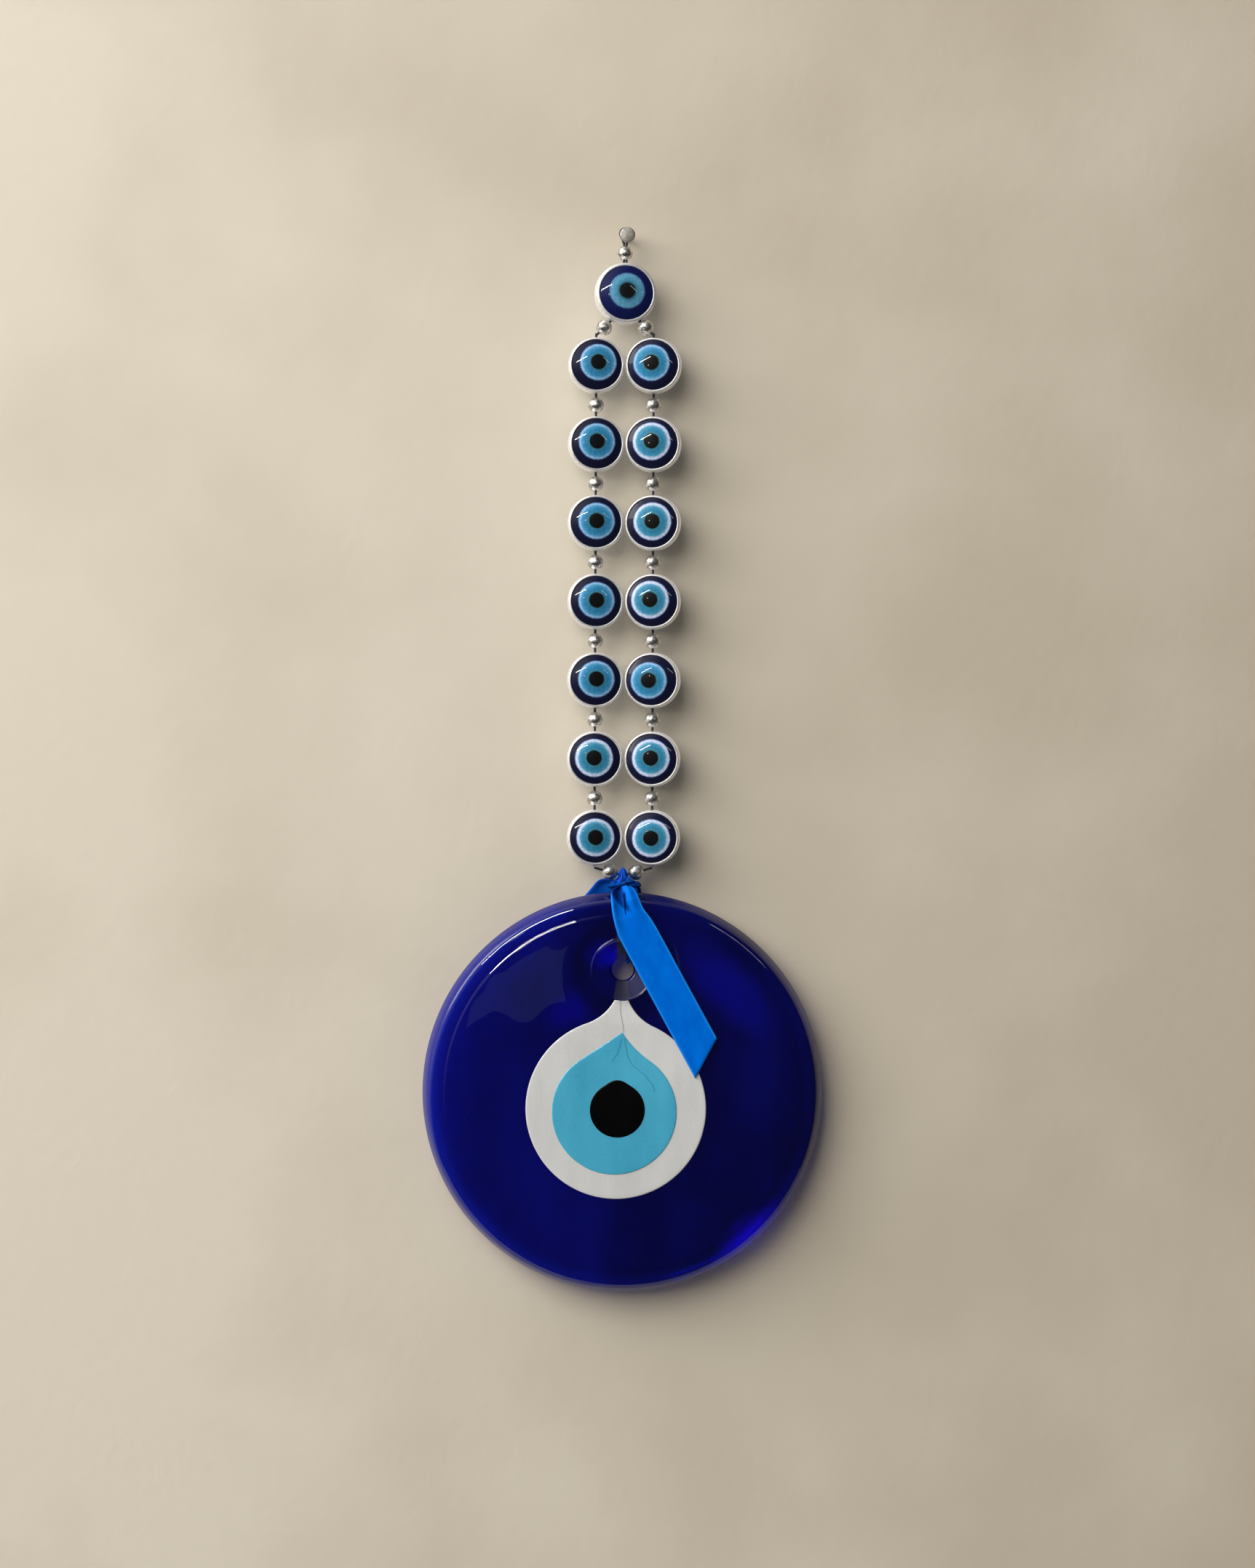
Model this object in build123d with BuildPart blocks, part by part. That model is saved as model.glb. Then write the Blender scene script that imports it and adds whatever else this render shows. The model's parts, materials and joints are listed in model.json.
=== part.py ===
from build123d import *
import os
from math import acos, atan2, cos, degrees, hypot, radians, sin

# Evil eye wall ornament, in millimetres. +Z is up, -Y is the front and +X is to the right of the
# viewer. The origin is the axis of the nail, at the middle of the cord that hangs on it.
# From the top down: a cord loop, a round bead, a large eye bead, seven rows of two eye beads with
# round beads between them, a tied satin ribbon and a cobalt glass disc with a poured eye.

# Cord and round beads
CORD_RADIUS = 0.4
BORE_RADIUS = 0.6
BALL_RADIUS = 2.6
TOP_BALL_RADIUS = 2.5
STRAND_GAP = 0.42          # half the distance between the two strands above the large eye bead
JOINT_GAP = 0.45           # from a flexing point to the middle of each cord's rounded end
NAIL_RADIUS = 1.3          # clear radius of the hanging loop

# Eye beads
EYE_RADIUS = 9.2
EYE_INSERT_RADIUS = 8.05
TOP_EYE_RADIUS = 10.1
TOP_EYE_INSERT_RADIUS = 8.65
EYE_RIM_DEPTH = 3.4        # from the middle of a bead to the face of its rim
EYE_SEAT_DEPTH = 2.3       # from the middle to the seat that an insert is glued on
EYE_DOME_DEPTH = 5.0       # from the middle to the top of an insert's dome
EYE_SPREAD = 9.35          # from the middle of the ornament to each strand of eye beads
ROW_COUNT = 7
ROW_PITCH = 25.55
FIRST_ROW_Z = -42.95
FLEX_ABOVE_EYE = 9.45      # height of a row's flexing point over the middle of its eye beads

# How far each eye bead has turned on its cord, in degrees, from the first row down
LEFT_TURNS = (5, 7, 4, 6, 5, 3, 6)
RIGHT_TURNS = (-4, -5, -6, -4, -7, -5, -4)
TOP_TURN = 8

# The top of the ornament
LOOP_END_Z = -3.2
SWAY_Z = -3.65
TOP_BALL_Z = -6.35
TOP_FOLD_Z = -9.2
TOP_EYE_Z = -19.6
SHOULDER_X = 6.75
SHOULDER_Z = -30.5

# The foot of the strands
RIBBON_FOLD_Z = -205.6
FOOT_BALL_X = 4.3
FOOT_BALL_Z = -207.4

# Glass disc. The heights after DISC_Z are counted from the middle of the disc
DISC_Z = -278.9
DISC_RADIUS = 65.0
DISC_HALF_THICKNESS = 5.5
HOLE_RADIUS = 3.5
HOLE_HEIGHT = 39.9
HOLE_TIP_HEIGHT = 44.4
DIMPLE_RADIUS = 18.0
LIP_RADIUS = 9.9
NECK_HEIGHT = 30.4         # where the white drop's neck meets the lip
DROP_SEAT = 3.6            # from the middle of the disc to the bottom of the poured drops
WHITE_PROUD = 5.8          # from the middle of the disc to the face of each drop
BLUE_PROUD = 6.0
PUPIL_PROUD = 6.15

# Ribbon, again with heights from the middle of the disc
KNOT_HEIGHT = 67.8
KNOT_HALF_WIDTH = 3.7
KNOT_HALF_HEIGHT = 2.05
RIBBON_THICKNESS = 0.7

os.makedirs("parts", exist_ok=True)


def save(piece, name):
    """Labels a finished piece and writes it."""
    piece.part.label = name
    export_step(piece.part, f"parts/{name}.step")


def cord(points, bends):
    """Adds one round cord with rounded ends to the part being built."""
    with BuildLine() as route:
        if bends:
            FilletPolyline(*points, radius=bends)
        else:
            Line(*points)
    with BuildSketch(Plane(origin=route.line @ 0, z_dir=route.line % 0)) as section:
        Circle(CORD_RADIUS)
    sweep(section.sketch, path=route.line)
    with Locations(points[0], points[-1]):
        Sphere(CORD_RADIUS)


def cord_hole(points, bends):
    """Cuts the hole for one cord, with room round it, out of the part being built."""
    with BuildLine() as route:
        FilletPolyline(*points, radius=bends)
    with BuildSketch(Plane(origin=route.line @ 0, z_dir=route.line % 0)) as section:
        Circle(BORE_RADIUS)
    sweep(section.sketch, path=route.line, mode=Mode.SUBTRACT)


def balls(x, z, lean, radius=BALL_RADIUS):
    """A pair of round beads whose bores lean in at the top by lean degrees."""
    with BuildPart() as pair:
        for side in (-1, 1):
            with Locations(Location((side * x, 0, z), (0, -side * lean, 0))):
                Sphere(radius)
                Cylinder(BORE_RADIUS, 3 * radius, mode=Mode.SUBTRACT)
    return pair


def eye_plane(x, z, turn):
    """A level plane through a bead's middle, with its second axis out of the bead's back."""
    across = (cos(radians(turn)), sin(radians(turn)), 0)
    return Plane(origin=(x, 0, z), x_dir=across, z_dir=(0, 0, 1))


def depth_axis(plane):
    """The line through the middle of a bead's two faces."""
    return Axis(plane.origin, plane.y_dir)


def eye_case(x, z, turn, radius, insert_radius):
    """The plated body of an eye bead: a drum with a bulging side and a seat in each face."""
    plane = eye_plane(x, z, turn)
    edge = radius - 0.45
    rim = radius - 0.7
    seat = insert_radius + 0.05
    with BuildPart() as case:
        with BuildSketch(plane) as half:
            with BuildLine():
                Polyline((0, -EYE_SEAT_DEPTH), (seat, -EYE_SEAT_DEPTH), (seat, -EYE_RIM_DEPTH))
                Polyline((seat, -EYE_RIM_DEPTH), (rim, -EYE_RIM_DEPTH), (edge, -EYE_RIM_DEPTH + 0.6))
                ThreePointArc((edge, -EYE_RIM_DEPTH + 0.6), (radius, 0), (edge, EYE_RIM_DEPTH - 0.6))
                Polyline((edge, EYE_RIM_DEPTH - 0.6), (rim, EYE_RIM_DEPTH), (seat, EYE_RIM_DEPTH))
                Polyline((seat, EYE_RIM_DEPTH), (seat, EYE_SEAT_DEPTH), (0, EYE_SEAT_DEPTH))
                Line((0, EYE_SEAT_DEPTH), (0, -EYE_SEAT_DEPTH))
            make_face()
        revolve(axis=depth_axis(plane))
    return case


def eye_glass(x, z, turn, insert_radius):
    """The two domed eyes glued into the faces of a bead's case."""
    plane = eye_plane(x, z, turn)
    edge = EYE_RIM_DEPTH - 0.2
    with BuildPart() as domes:
        for side in (-1, 1):
            with BuildSketch(plane) as half:
                with BuildLine():
                    Polyline(
                        (0, side * EYE_DOME_DEPTH),
                        (0, side * EYE_SEAT_DEPTH),
                        (insert_radius, side * EYE_SEAT_DEPTH),
                        (insert_radius, side * edge),
                    )
                    RadiusArc(
                        (insert_radius, side * edge),
                        (0, side * EYE_DOME_DEPTH),
                        -side * dome_radius(insert_radius, EYE_DOME_DEPTH - edge),
                    )
                make_face()
            revolve(axis=depth_axis(plane))
    return domes


def dome_radius(base, rise):
    """Radius of the ball whose cap has this base radius and rise."""
    return (base * base + rise * rise) / (2 * rise)


def drop(centre, radius, left_end, right_end, left_flare, right_flare):
    """Draws a round that two hollow arcs, of the radii given as flares, lead up to its ends."""
    middle = Vector(*centre)
    feet = []
    for end, side, flare in ((left_end, 1, left_flare), (right_end, -1, right_flare)):
        end = Vector(*end)
        reach = radius + flare
        lean = end - middle
        opening = acos((lean.length**2 + reach**2 - flare**2) / (2 * lean.length * reach))
        out = lean.normalized().rotate(Axis.Z, side * degrees(opening))
        foot = middle + out * radius
        bend = middle + out * reach
        halfway = ((foot - bend).normalized() + (end - bend).normalized()).normalized()
        ThreePointArc(foot, bend + halfway * flare, end)
        feet.append(foot)
    bottom = middle - (Vector(*left_end) + Vector(*right_end) - middle * 2).normalized() * radius
    ThreePointArc(feet[0], bottom, feet[1])
    if left_end != right_end:
        Line(left_end, right_end)


def white_outline():
    """Outline of the white drop, up to the neck under the hole."""
    drop((-2.1, -4.9), 29.2, (-2.6, NECK_HEIGHT), (1.9, NECK_HEIGHT), 16, 16)


def blue_outline():
    """Outline of the light blue drop, whose tip is straight on the left and hollow on the right."""
    drop((-2.6, -6.0), 20.2, (-0.1, 19.9), (-0.1, 19.9), 400, 32)


def pupil_outline():
    """Adds the face of the black pupil, a round drawn out upwards, to the sketch being drawn."""
    for height, radius in ((-5.3, 8.95), (-0.6, 5.0)):
        with Locations((-1.6, height)):
            Circle(radius)
    make_hull()


def face_plane(depth):
    """The upright plane through the disc, depth in front of its middle."""
    return Plane(origin=(0, -depth, DISC_Z), x_dir=(1, 0, 0), z_dir=(0, -1, 0))


def side_plane():
    """The upright plane from front to back through the disc's middle."""
    return Plane(origin=(0, 0, DISC_Z), x_dir=(0, 1, 0), z_dir=(1, 0, 0))


def cut_crater():
    """Cuts the dimple round the hole and the funnel inside its lip."""
    hole_z = DISC_Z + HOLE_HEIGHT
    clear = DISC_HALF_THICKNESS + 4
    with BuildSketch(Plane.XY.offset(hole_z)) as profile:
        with BuildLine():
            Polyline((0, -2.2), (0, -clear), (DIMPLE_RADIUS, -clear), (DIMPLE_RADIUS, -5.55))
            ThreePointArc((DIMPLE_RADIUS, -5.55), (13.2, -4.75), (LIP_RADIUS, -4.9))
            ThreePointArc((LIP_RADIUS, -4.9), (6.6, -3.1), (0, -2.2))
        make_face()
    revolve(profile.sketch, axis=Axis((0, 0, hole_z), (0, 1, 0)), mode=Mode.SUBTRACT)


# --- The hanging loop, which the nail goes through -------------------------------------------------
loop_radius = NAIL_RADIUS + CORD_RADIUS
leg_reach = hypot(STRAND_GAP, LOOP_END_Z)
leg_angle = degrees(atan2(LOOP_END_Z, STRAND_GAP)) + degrees(acos(loop_radius / leg_reach))
leg_top = (loop_radius * cos(radians(leg_angle)), 0, loop_radius * sin(radians(leg_angle)))
with BuildPart() as hanging_loop:
    with BuildLine(Plane.XZ) as loop_route:
        Line((-STRAND_GAP, LOOP_END_Z), (-leg_top[0], leg_top[2]))
        ThreePointArc((-leg_top[0], leg_top[2]), (0, loop_radius), (leg_top[0], leg_top[2]))
        Line((leg_top[0], leg_top[2]), (STRAND_GAP, LOOP_END_Z))
    with BuildSketch(Plane(origin=loop_route.line @ 0, z_dir=loop_route.line % 0)):
        Circle(CORD_RADIUS)
    sweep(path=loop_route.line)
    with Locations((-STRAND_GAP, 0, LOOP_END_Z), (STRAND_GAP, 0, LOOP_END_Z)):
        Sphere(CORD_RADIUS)
save(hanging_loop, "hanging_loop")

# --- The round bead under the loop, with both strands through it -----------------------------------
with BuildPart() as top_ball:
    with Locations((0, 0, TOP_BALL_Z)):
        Sphere(TOP_BALL_RADIUS)
        with BuildSketch(Plane.XY.offset(TOP_BALL_Z - 2 * TOP_BALL_RADIUS)):
            SlotOverall(2 * (STRAND_GAP + BORE_RADIUS), 2 * BORE_RADIUS)
    extrude(amount=4 * TOP_BALL_RADIUS, mode=Mode.SUBTRACT)
save(top_ball, "top_ball")

with BuildPart() as top_ball_cords:
    for x in (-STRAND_GAP, STRAND_GAP):
        cord([(x, 0, TOP_BALL_Z + 1.45), (x, 0, TOP_FOLD_Z + JOINT_GAP)], None)
save(top_ball_cords, "top_ball_cords")

# --- The large eye bead, which takes both strands in and lets them out at its two lower sides ------
first_flex_z = FIRST_ROW_Z + FLEX_ABOVE_EYE


def shoulder_route(side, top, bottom):
    """One strand's way through the large bead and the round bead at its shoulder."""
    return [
        (side * STRAND_GAP, 0, top),
        (side * STRAND_GAP, 0, -15.0),
        (side * 4.75, 0, -28.5),
        (side * EYE_SPREAD, 0, bottom),
    ]


with BuildPart() as top_eye_cords:
    for side in (-1, 1):
        cord(shoulder_route(side, TOP_FOLD_Z - JOINT_GAP, first_flex_z + JOINT_GAP), [3.0, 1.5])
save(top_eye_cords, "top_eye_cords")

top_eye_case = eye_case(0, TOP_EYE_Z, TOP_TURN, TOP_EYE_RADIUS, TOP_EYE_INSERT_RADIUS)
with top_eye_case:
    for side in (-1, 1):
        cord_hole(shoulder_route(side, TOP_FOLD_Z, first_flex_z), [3.0, 1.5])
save(top_eye_case, "top_eye_case")
save(eye_glass(0, TOP_EYE_Z, TOP_TURN, TOP_EYE_INSERT_RADIUS), "top_eye_glass")
save(balls(SHOULDER_X, SHOULDER_Z, 45), "shoulder_balls")

# --- Seven rows of two eye beads, each bead free to turn on its cord -------------------------------
for row in range(1, ROW_COUNT + 1):
    eye_z = FIRST_ROW_Z - ROW_PITCH * (row - 1)
    flex_z = eye_z + FLEX_ABOVE_EYE
    next_flex_z = flex_z - ROW_PITCH if row < ROW_COUNT else RIBBON_FOLD_Z
    with BuildPart() as row_cords:
        for x in (-EYE_SPREAD, EYE_SPREAD):
            cord([(x, 0, flex_z - JOINT_GAP), (x, 0, next_flex_z + JOINT_GAP)], None)
    save(row_cords, f"row_{row}_cords")
    if row < ROW_COUNT:
        save(balls(EYE_SPREAD, eye_z - ROW_PITCH / 2, 0), f"row_{row}_balls")
    for side_name, side, turns in (("left", -1, LEFT_TURNS), ("right", 1, RIGHT_TURNS)):
        x = side * EYE_SPREAD
        turn = turns[row - 1]
        case = eye_case(x, eye_z, turn, EYE_RADIUS, EYE_INSERT_RADIUS)
        with case:
            with Locations((x, 0, eye_z)):
                Cylinder(BORE_RADIUS, 3 * EYE_RADIUS, mode=Mode.SUBTRACT)
        save(case, f"{side_name}_eye_{row}_case")
        save(eye_glass(x, eye_z, turn, EYE_INSERT_RADIUS), f"{side_name}_eye_{row}_glass")

# --- The two round beads that bring the strands together over the ribbon ---------------------------
foot_lean = degrees(atan2(4.8, 1.3))
save(balls(FOOT_BALL_X, FOOT_BALL_Z, -foot_lean), "foot_balls")
with BuildPart() as foot_cords:
    for side in (-1, 1):
        cord([(side * 9.1, 0, -206.1), (side * 0.9, 0, -208.32)], None)
save(foot_cords, "foot_cords")

# --- The ribbon: a knot, a loop through the disc's hole and two cut tails --------------------------
with BuildPart() as ribbon_knot:
    with BuildSketch(face_plane(0)):
        with Locations((0, KNOT_HEIGHT)):
            Ellipse(KNOT_HALF_WIDTH, KNOT_HALF_HEIGHT)
            Rectangle(3 * KNOT_HALF_WIDTH, 3 * KNOT_HALF_HEIGHT, align=(Align.CENTER, Align.MAX),
                      mode=Mode.SUBTRACT)
    revolve(axis=Axis((0, 0, DISC_Z + KNOT_HEIGHT), (1, 0, 0)))
save(ribbon_knot, "ribbon_knot")


def ribbon_band(side_points, side_bends, front_points):
    """A band with this centre line seen from the side, cut to this outline seen from the front."""
    with BuildPart() as band:
        with BuildSketch(side_plane()) as side_view:
            with BuildLine() as centre_line:
                FilletPolyline(*side_points, radius=side_bends)
            trace(centre_line.line, RIBBON_THICKNESS)
        extrude(side_view.sketch, amount=60, both=True)
        with BuildSketch(face_plane(-20)) as front_view:
            with BuildLine():
                Polyline(*front_points, close=True)
            make_face()
        extrude(front_view.sketch, amount=40, mode=Mode.INTERSECT)
    return band


ribbon_loop = ribbon_band(
    [(-1.6, 66.4), (-4.7, 65.2), (-6.3, 62.0), (-6.3, 49.0), (-5.2, 43.6), (-3.2, 42.2),
     (6.3, 42.2), (6.3, 62.9), (4.9, 66.1), (1.6, 67.0)],
    [2.0, 2.0, 3.0, 1.6, 1.2, 1.0, 2.0, 2.0],
    [(0.4, 41.0), (2.0, 41.0), (2.2, 42.8), (4.6, 47.5), (5.2, 67.6), (-1.2, 67.6),
     (1.9, 47.5), (1.4, 43.5), (0.4, 42.6)],
)
with ribbon_loop:
    add(ribbon_knot.part, mode=Mode.SUBTRACT)
save(ribbon_loop, "ribbon_loop")

ribbon_front_tail = ribbon_band(
    [(-3.1, 67.2), (-6.1, 66.2), (-7.4, 63.0), (-7.4, 48.0), (-6.6, 30.0), (-6.5, 4.0)],
    [1.6, 2.4, 60.0, 60.0],
    [(-2.4, 68.6), (1.8, 68.6), (8.8, 60.2), (30.4, 18.0), (23.6, 5.0), (-2.2, 54.9), (-3.6, 63.0)],
)
save(ribbon_front_tail, "ribbon_front_tail")

ribbon_back_tail = ribbon_band(
    [(3.1, 68.0), (6.1, 67.4), (7.4, 63.6), (7.4, 48.0), (7.0, 16.0)],
    [1.6, 2.4, 60.0],
    [(-1.6, 68.4), (-7.9, 68.9), (-37.9, 34.5), (-31.5, 23.7), (0.4, 60.6), (-0.4, 65.0)],
)
save(ribbon_back_tail, "ribbon_back_tail")

# --- The glass disc and the three drops poured into its face ---------------------------------------
with BuildPart() as glass_disc:
    with BuildSketch(Plane.XY.offset(DISC_Z)):
        with BuildLine():
            Polyline((0, -DISC_HALF_THICKNESS), (0, DISC_HALF_THICKNESS))
            Line((0, DISC_HALF_THICKNESS), (DISC_RADIUS - 4.0, DISC_HALF_THICKNESS))
            ThreePointArc((DISC_RADIUS - 4.0, DISC_HALF_THICKNESS), (64.05, 4.05), (DISC_RADIUS, 0.8))
            ThreePointArc((DISC_RADIUS, 0.8), (63.35, -3.45), (59.2, -5.35))
            ThreePointArc((59.2, -5.35), (30, -5.48), (0, -DISC_HALF_THICKNESS))
        make_face()
    revolve(axis=Axis((0, 0, DISC_Z), (0, 1, 0)))
    cut_crater()
    with BuildSketch(face_plane(-20)):
        with Locations((0, HOLE_HEIGHT)):
            Circle(HOLE_RADIUS)
        with BuildLine():
            tip_lean = acos(HOLE_RADIUS / (HOLE_TIP_HEIGHT - HOLE_HEIGHT))
            side = (HOLE_RADIUS * sin(tip_lean), HOLE_HEIGHT + HOLE_RADIUS * cos(tip_lean))
            Polyline((-side[0], side[1]), (0, HOLE_TIP_HEIGHT), side, (0, HOLE_HEIGHT), close=True)
        make_face()
    extrude(amount=40, mode=Mode.SUBTRACT)
    with BuildSketch(face_plane(DROP_SEAT)):
        with BuildLine():
            white_outline()
        make_face()
    extrude(amount=10, mode=Mode.SUBTRACT)
save(glass_disc, "glass_disc")

with BuildPart() as white_drop:
    with BuildSketch(face_plane(DROP_SEAT)):
        with BuildLine():
            white_outline()
        make_face()
    extrude(amount=WHITE_PROUD - DROP_SEAT)
    cut_crater()
    with BuildSketch(face_plane(DROP_SEAT + 0.6)):
        with BuildLine():
            blue_outline()
        make_face()
    extrude(amount=10, mode=Mode.SUBTRACT)
save(white_drop, "white_drop")

with BuildPart() as light_blue_drop:
    with BuildSketch(face_plane(DROP_SEAT + 0.6)):
        with BuildLine():
            blue_outline()
        make_face()
    extrude(amount=BLUE_PROUD - DROP_SEAT - 0.6)
    with BuildSketch(face_plane(DROP_SEAT + 1.2)):
        pupil_outline()
    extrude(amount=10, mode=Mode.SUBTRACT)
save(light_blue_drop, "light_blue_drop")

with BuildPart() as pupil:
    with BuildSketch(face_plane(DROP_SEAT + 1.2)):
        pupil_outline()
    extrude(amount=PUPIL_PROUD - DROP_SEAT - 1.2)
save(pupil, "pupil")
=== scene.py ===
import json
import math

import bmesh
import bpy
import numpy as np
from mathutils import Matrix, Vector, geometry, noise


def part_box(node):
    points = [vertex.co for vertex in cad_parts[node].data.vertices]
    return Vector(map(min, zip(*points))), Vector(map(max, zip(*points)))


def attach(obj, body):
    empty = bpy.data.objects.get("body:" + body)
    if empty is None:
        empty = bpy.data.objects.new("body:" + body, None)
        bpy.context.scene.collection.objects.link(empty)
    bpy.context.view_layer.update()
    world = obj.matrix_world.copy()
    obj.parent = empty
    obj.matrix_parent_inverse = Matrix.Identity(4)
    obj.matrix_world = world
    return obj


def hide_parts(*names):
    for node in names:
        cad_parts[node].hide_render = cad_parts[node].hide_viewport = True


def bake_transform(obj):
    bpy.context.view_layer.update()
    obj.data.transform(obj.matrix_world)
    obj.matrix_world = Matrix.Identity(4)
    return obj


# Evil eye wall ornament. Lengths are in millimetres until a mesh is made, and MM turns them into metres.
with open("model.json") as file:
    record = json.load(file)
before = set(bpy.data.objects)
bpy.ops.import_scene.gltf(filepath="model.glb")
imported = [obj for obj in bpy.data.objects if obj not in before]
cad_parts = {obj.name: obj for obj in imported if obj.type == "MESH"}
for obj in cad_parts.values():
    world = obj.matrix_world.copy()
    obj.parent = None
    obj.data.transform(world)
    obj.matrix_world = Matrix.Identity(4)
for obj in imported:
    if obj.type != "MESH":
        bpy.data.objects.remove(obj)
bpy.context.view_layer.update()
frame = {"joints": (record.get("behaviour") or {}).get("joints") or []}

MM = 0.001
ROWS = 7
CORD_RADIUS = 0.4
BORE_RADIUS = 0.6
RIBBON_WIDTH = 12.0


def corners(node):
    """Lowest and highest corner of a CAD node in millimetres."""
    low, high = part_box(node)
    return Vector(low) / MM, Vector(high) / MM


def middle(node):
    """Middle of a CAD node's box in millimetres."""
    low, high = corners(node)
    return (low + high) / 2


def half_height(node):
    """Half of a CAD node's height in millimetres."""
    low, high = corners(node)
    return (high.z - low.z) / 2


def joint_point(name):
    """Where a joint turns, in millimetres."""
    found = [joint for joint in frame["joints"] if joint["name"] == name]
    return Vector(found[0]["pos_m"]) / MM


# ---- Mesh helpers


def mesh_data(name, points, faces):
    """A smooth mesh from points in millimetres."""
    made = bpy.data.meshes.new(name)
    made.from_pydata([Vector(p) * MM for p in points], [], faces)
    made.polygons.foreach_set("use_smooth", [True] * len(made.polygons))
    made.update()
    return made


def link(name, data):
    """A new object in the scene."""
    made = bpy.data.objects.new(name, data)
    bpy.context.scene.collection.objects.link(made)
    return made


def piece(name, shape, finish, body, replaced=(), matrix=None):
    """A finished piece from a mesh or (points, faces): its object, material and body, with the CAD parts it
    replaces hidden.
    """
    mesh = shape if isinstance(shape, bpy.types.Mesh) else mesh_data(name, *shape)
    made = link(name, mesh)
    if matrix is not None:
        made.matrix_world = matrix
    if not mesh.materials:
        mesh.materials.append(finish)
    bpy.context.view_layer.update()
    if body is not None:
        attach(made, body)
    if replaced:
        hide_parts(*replaced)
    return made


def placed(point, turn=0.0, lean=0.0):
    """Matrix that stands a bead at a point in millimetres, turned about Z and leaning about Y."""
    turned = Matrix.Rotation(math.radians(turn), 4, "Z") @ Matrix.Rotation(math.radians(lean), 4, "Y")
    return Matrix.Translation(Vector(point) * MM) @ turned


def joined(parts):
    """Points and faces of several (points, faces) pairs as one."""
    points, faces = [], []
    for more_points, more_faces in parts:
        start = len(points)
        points.extend(more_points)
        faces.extend([tuple(start + i for i in face) for face in more_faces])
    return points, faces


def moved(part, shift):
    """A (points, faces) pair moved by a vector."""
    points, faces = part
    return [Vector(p) + Vector(shift) for p in points], faces


def round_angles(steps):
    """Angles once round a circle."""
    return [2 * math.pi * step / steps for step in range(steps)]


def ring_faces(rings, steps, closed=False, flip=False):
    """Faces between rings of points that follow one another."""
    found = []
    for ring in range(rings if closed else rings - 1):
        low, high = ring * steps, (ring + 1) % rings * steps
        for step in range(steps):
            after = (step + 1) % steps
            one, two, three, four = low + step, high + step, high + after, low + after
            found.append((one, four, three, two) if flip else (one, two, three, four))
    return found


def lathe(profile, steps, axis="Y", closed=False, ripple=None):
    """Turns a profile of (radius, height) about Y or Z. ripple(angle, index) is added to a radius."""
    points, faces, rings = [], [], []
    for index, (radius, height) in enumerate(profile):
        angles = round_angles(steps) if radius > 1e-6 else [0.0]
        rings.append([len(points) + step % len(angles) for step in range(steps)])
        for angle in angles:
            reach = radius + (ripple(angle, index) if ripple else 0)
            one, two = reach * math.cos(angle), reach * math.sin(angle)
            points.append(Vector((one, height, two) if axis == "Y" else (two, one, height)))
    for low, high in zip(rings, rings[1:] + (rings[:1] if closed else [])):
        for step in range(steps):
            after = (step + 1) % steps
            face = dict.fromkeys((low[step], high[step], high[after], low[after]))
            if len(face) > 2:
                faces.append(tuple(face))
    return points, faces


def flat_arc(centre, radius, start, end, steps):
    """Points of an arc in a plane, with angles in radians."""
    found = []
    for step in range(steps + 1):
        angle = start + (end - start) * step / steps
        found.append(Vector(centre) + Vector((math.cos(angle), math.sin(angle))) * radius)
    return found


def tube(path, radius, sides=20, round_ends=True):
    """A round tube along a path of points, with rounded or flat closed ends."""
    path = [Vector(p) for p in path]
    first = (path[1] - path[0]).normalized()
    last = (path[-1] - path[-2]).normalized()
    lifts = [math.radians(lift) for lift in (35, 60, 80)] if round_ends else []
    caps = [(radius * math.sin(lift), radius * math.cos(lift)) for lift in lifts]
    stations = [(path[0] - first * out, first, reach) for out, reach in reversed(caps)]
    for index, point in enumerate(path):
        ahead = path[min(index + 1, len(path) - 1)] - path[max(index - 1, 0)]
        stations.append((point, ahead.normalized(), radius))
    stations += [(path[-1] + last * out, last, reach) for out, reach in caps]
    side = first.orthogonal().normalized()
    points = []
    for point, ahead, reach in stations:
        side = (side - ahead * side.dot(ahead)).normalized()
        up = ahead.cross(side)
        for angle in round_angles(sides):
            points.append(point + (side * math.cos(angle) + up * math.sin(angle)) * reach)
    faces = ring_faces(len(stations), sides, flip=True)
    faces.append(tuple(reversed(range(sides))))
    faces.append(tuple(range(len(points) - sides, len(points))))
    return points, faces


def smooth_path(points, steps):
    """A Catmull-Rom curve through points."""
    points = [Vector(p) for p in points]
    padded = [points[0] * 2 - points[1]] + points + [points[-1] * 2 - points[-2]]
    found = []
    for index in range(1, len(padded) - 2):
        a, b, c, d = padded[index - 1 : index + 3]
        square, cube = 2 * a - 5 * b + 4 * c - d, 3 * b - a - 3 * c + d
        for t in np.arange(steps) / steps:
            found.append(0.5 * (2 * b + (c - a) * t + square * t**2 + cube * t**3))
    found.append(points[-1])
    return found


def straight(start, end, steps=8):
    """Points along a straight stretch."""
    return [Vector(start).lerp(Vector(end), step / steps) for step in range(steps + 1)]


def bored(mesh, cutters):
    """The mesh with holes cut by (points, faces) solids."""
    for cutter in cutters:
        target, tool = link("target", mesh), link("tool", mesh_data("tool", *cutter))
        cut = target.modifiers.new("bore", "BOOLEAN")
        cut.operation = "DIFFERENCE"
        cut.solver = "EXACT"
        cut.object = tool
        bpy.context.view_layer.update()
        ready = target.evaluated_get(bpy.context.evaluated_depsgraph_get())
        mesh = bpy.data.meshes.new_from_object(ready)
        bpy.data.objects.remove(target)
        bpy.data.objects.remove(tool)
    return mesh


# ---- Materials


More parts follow.
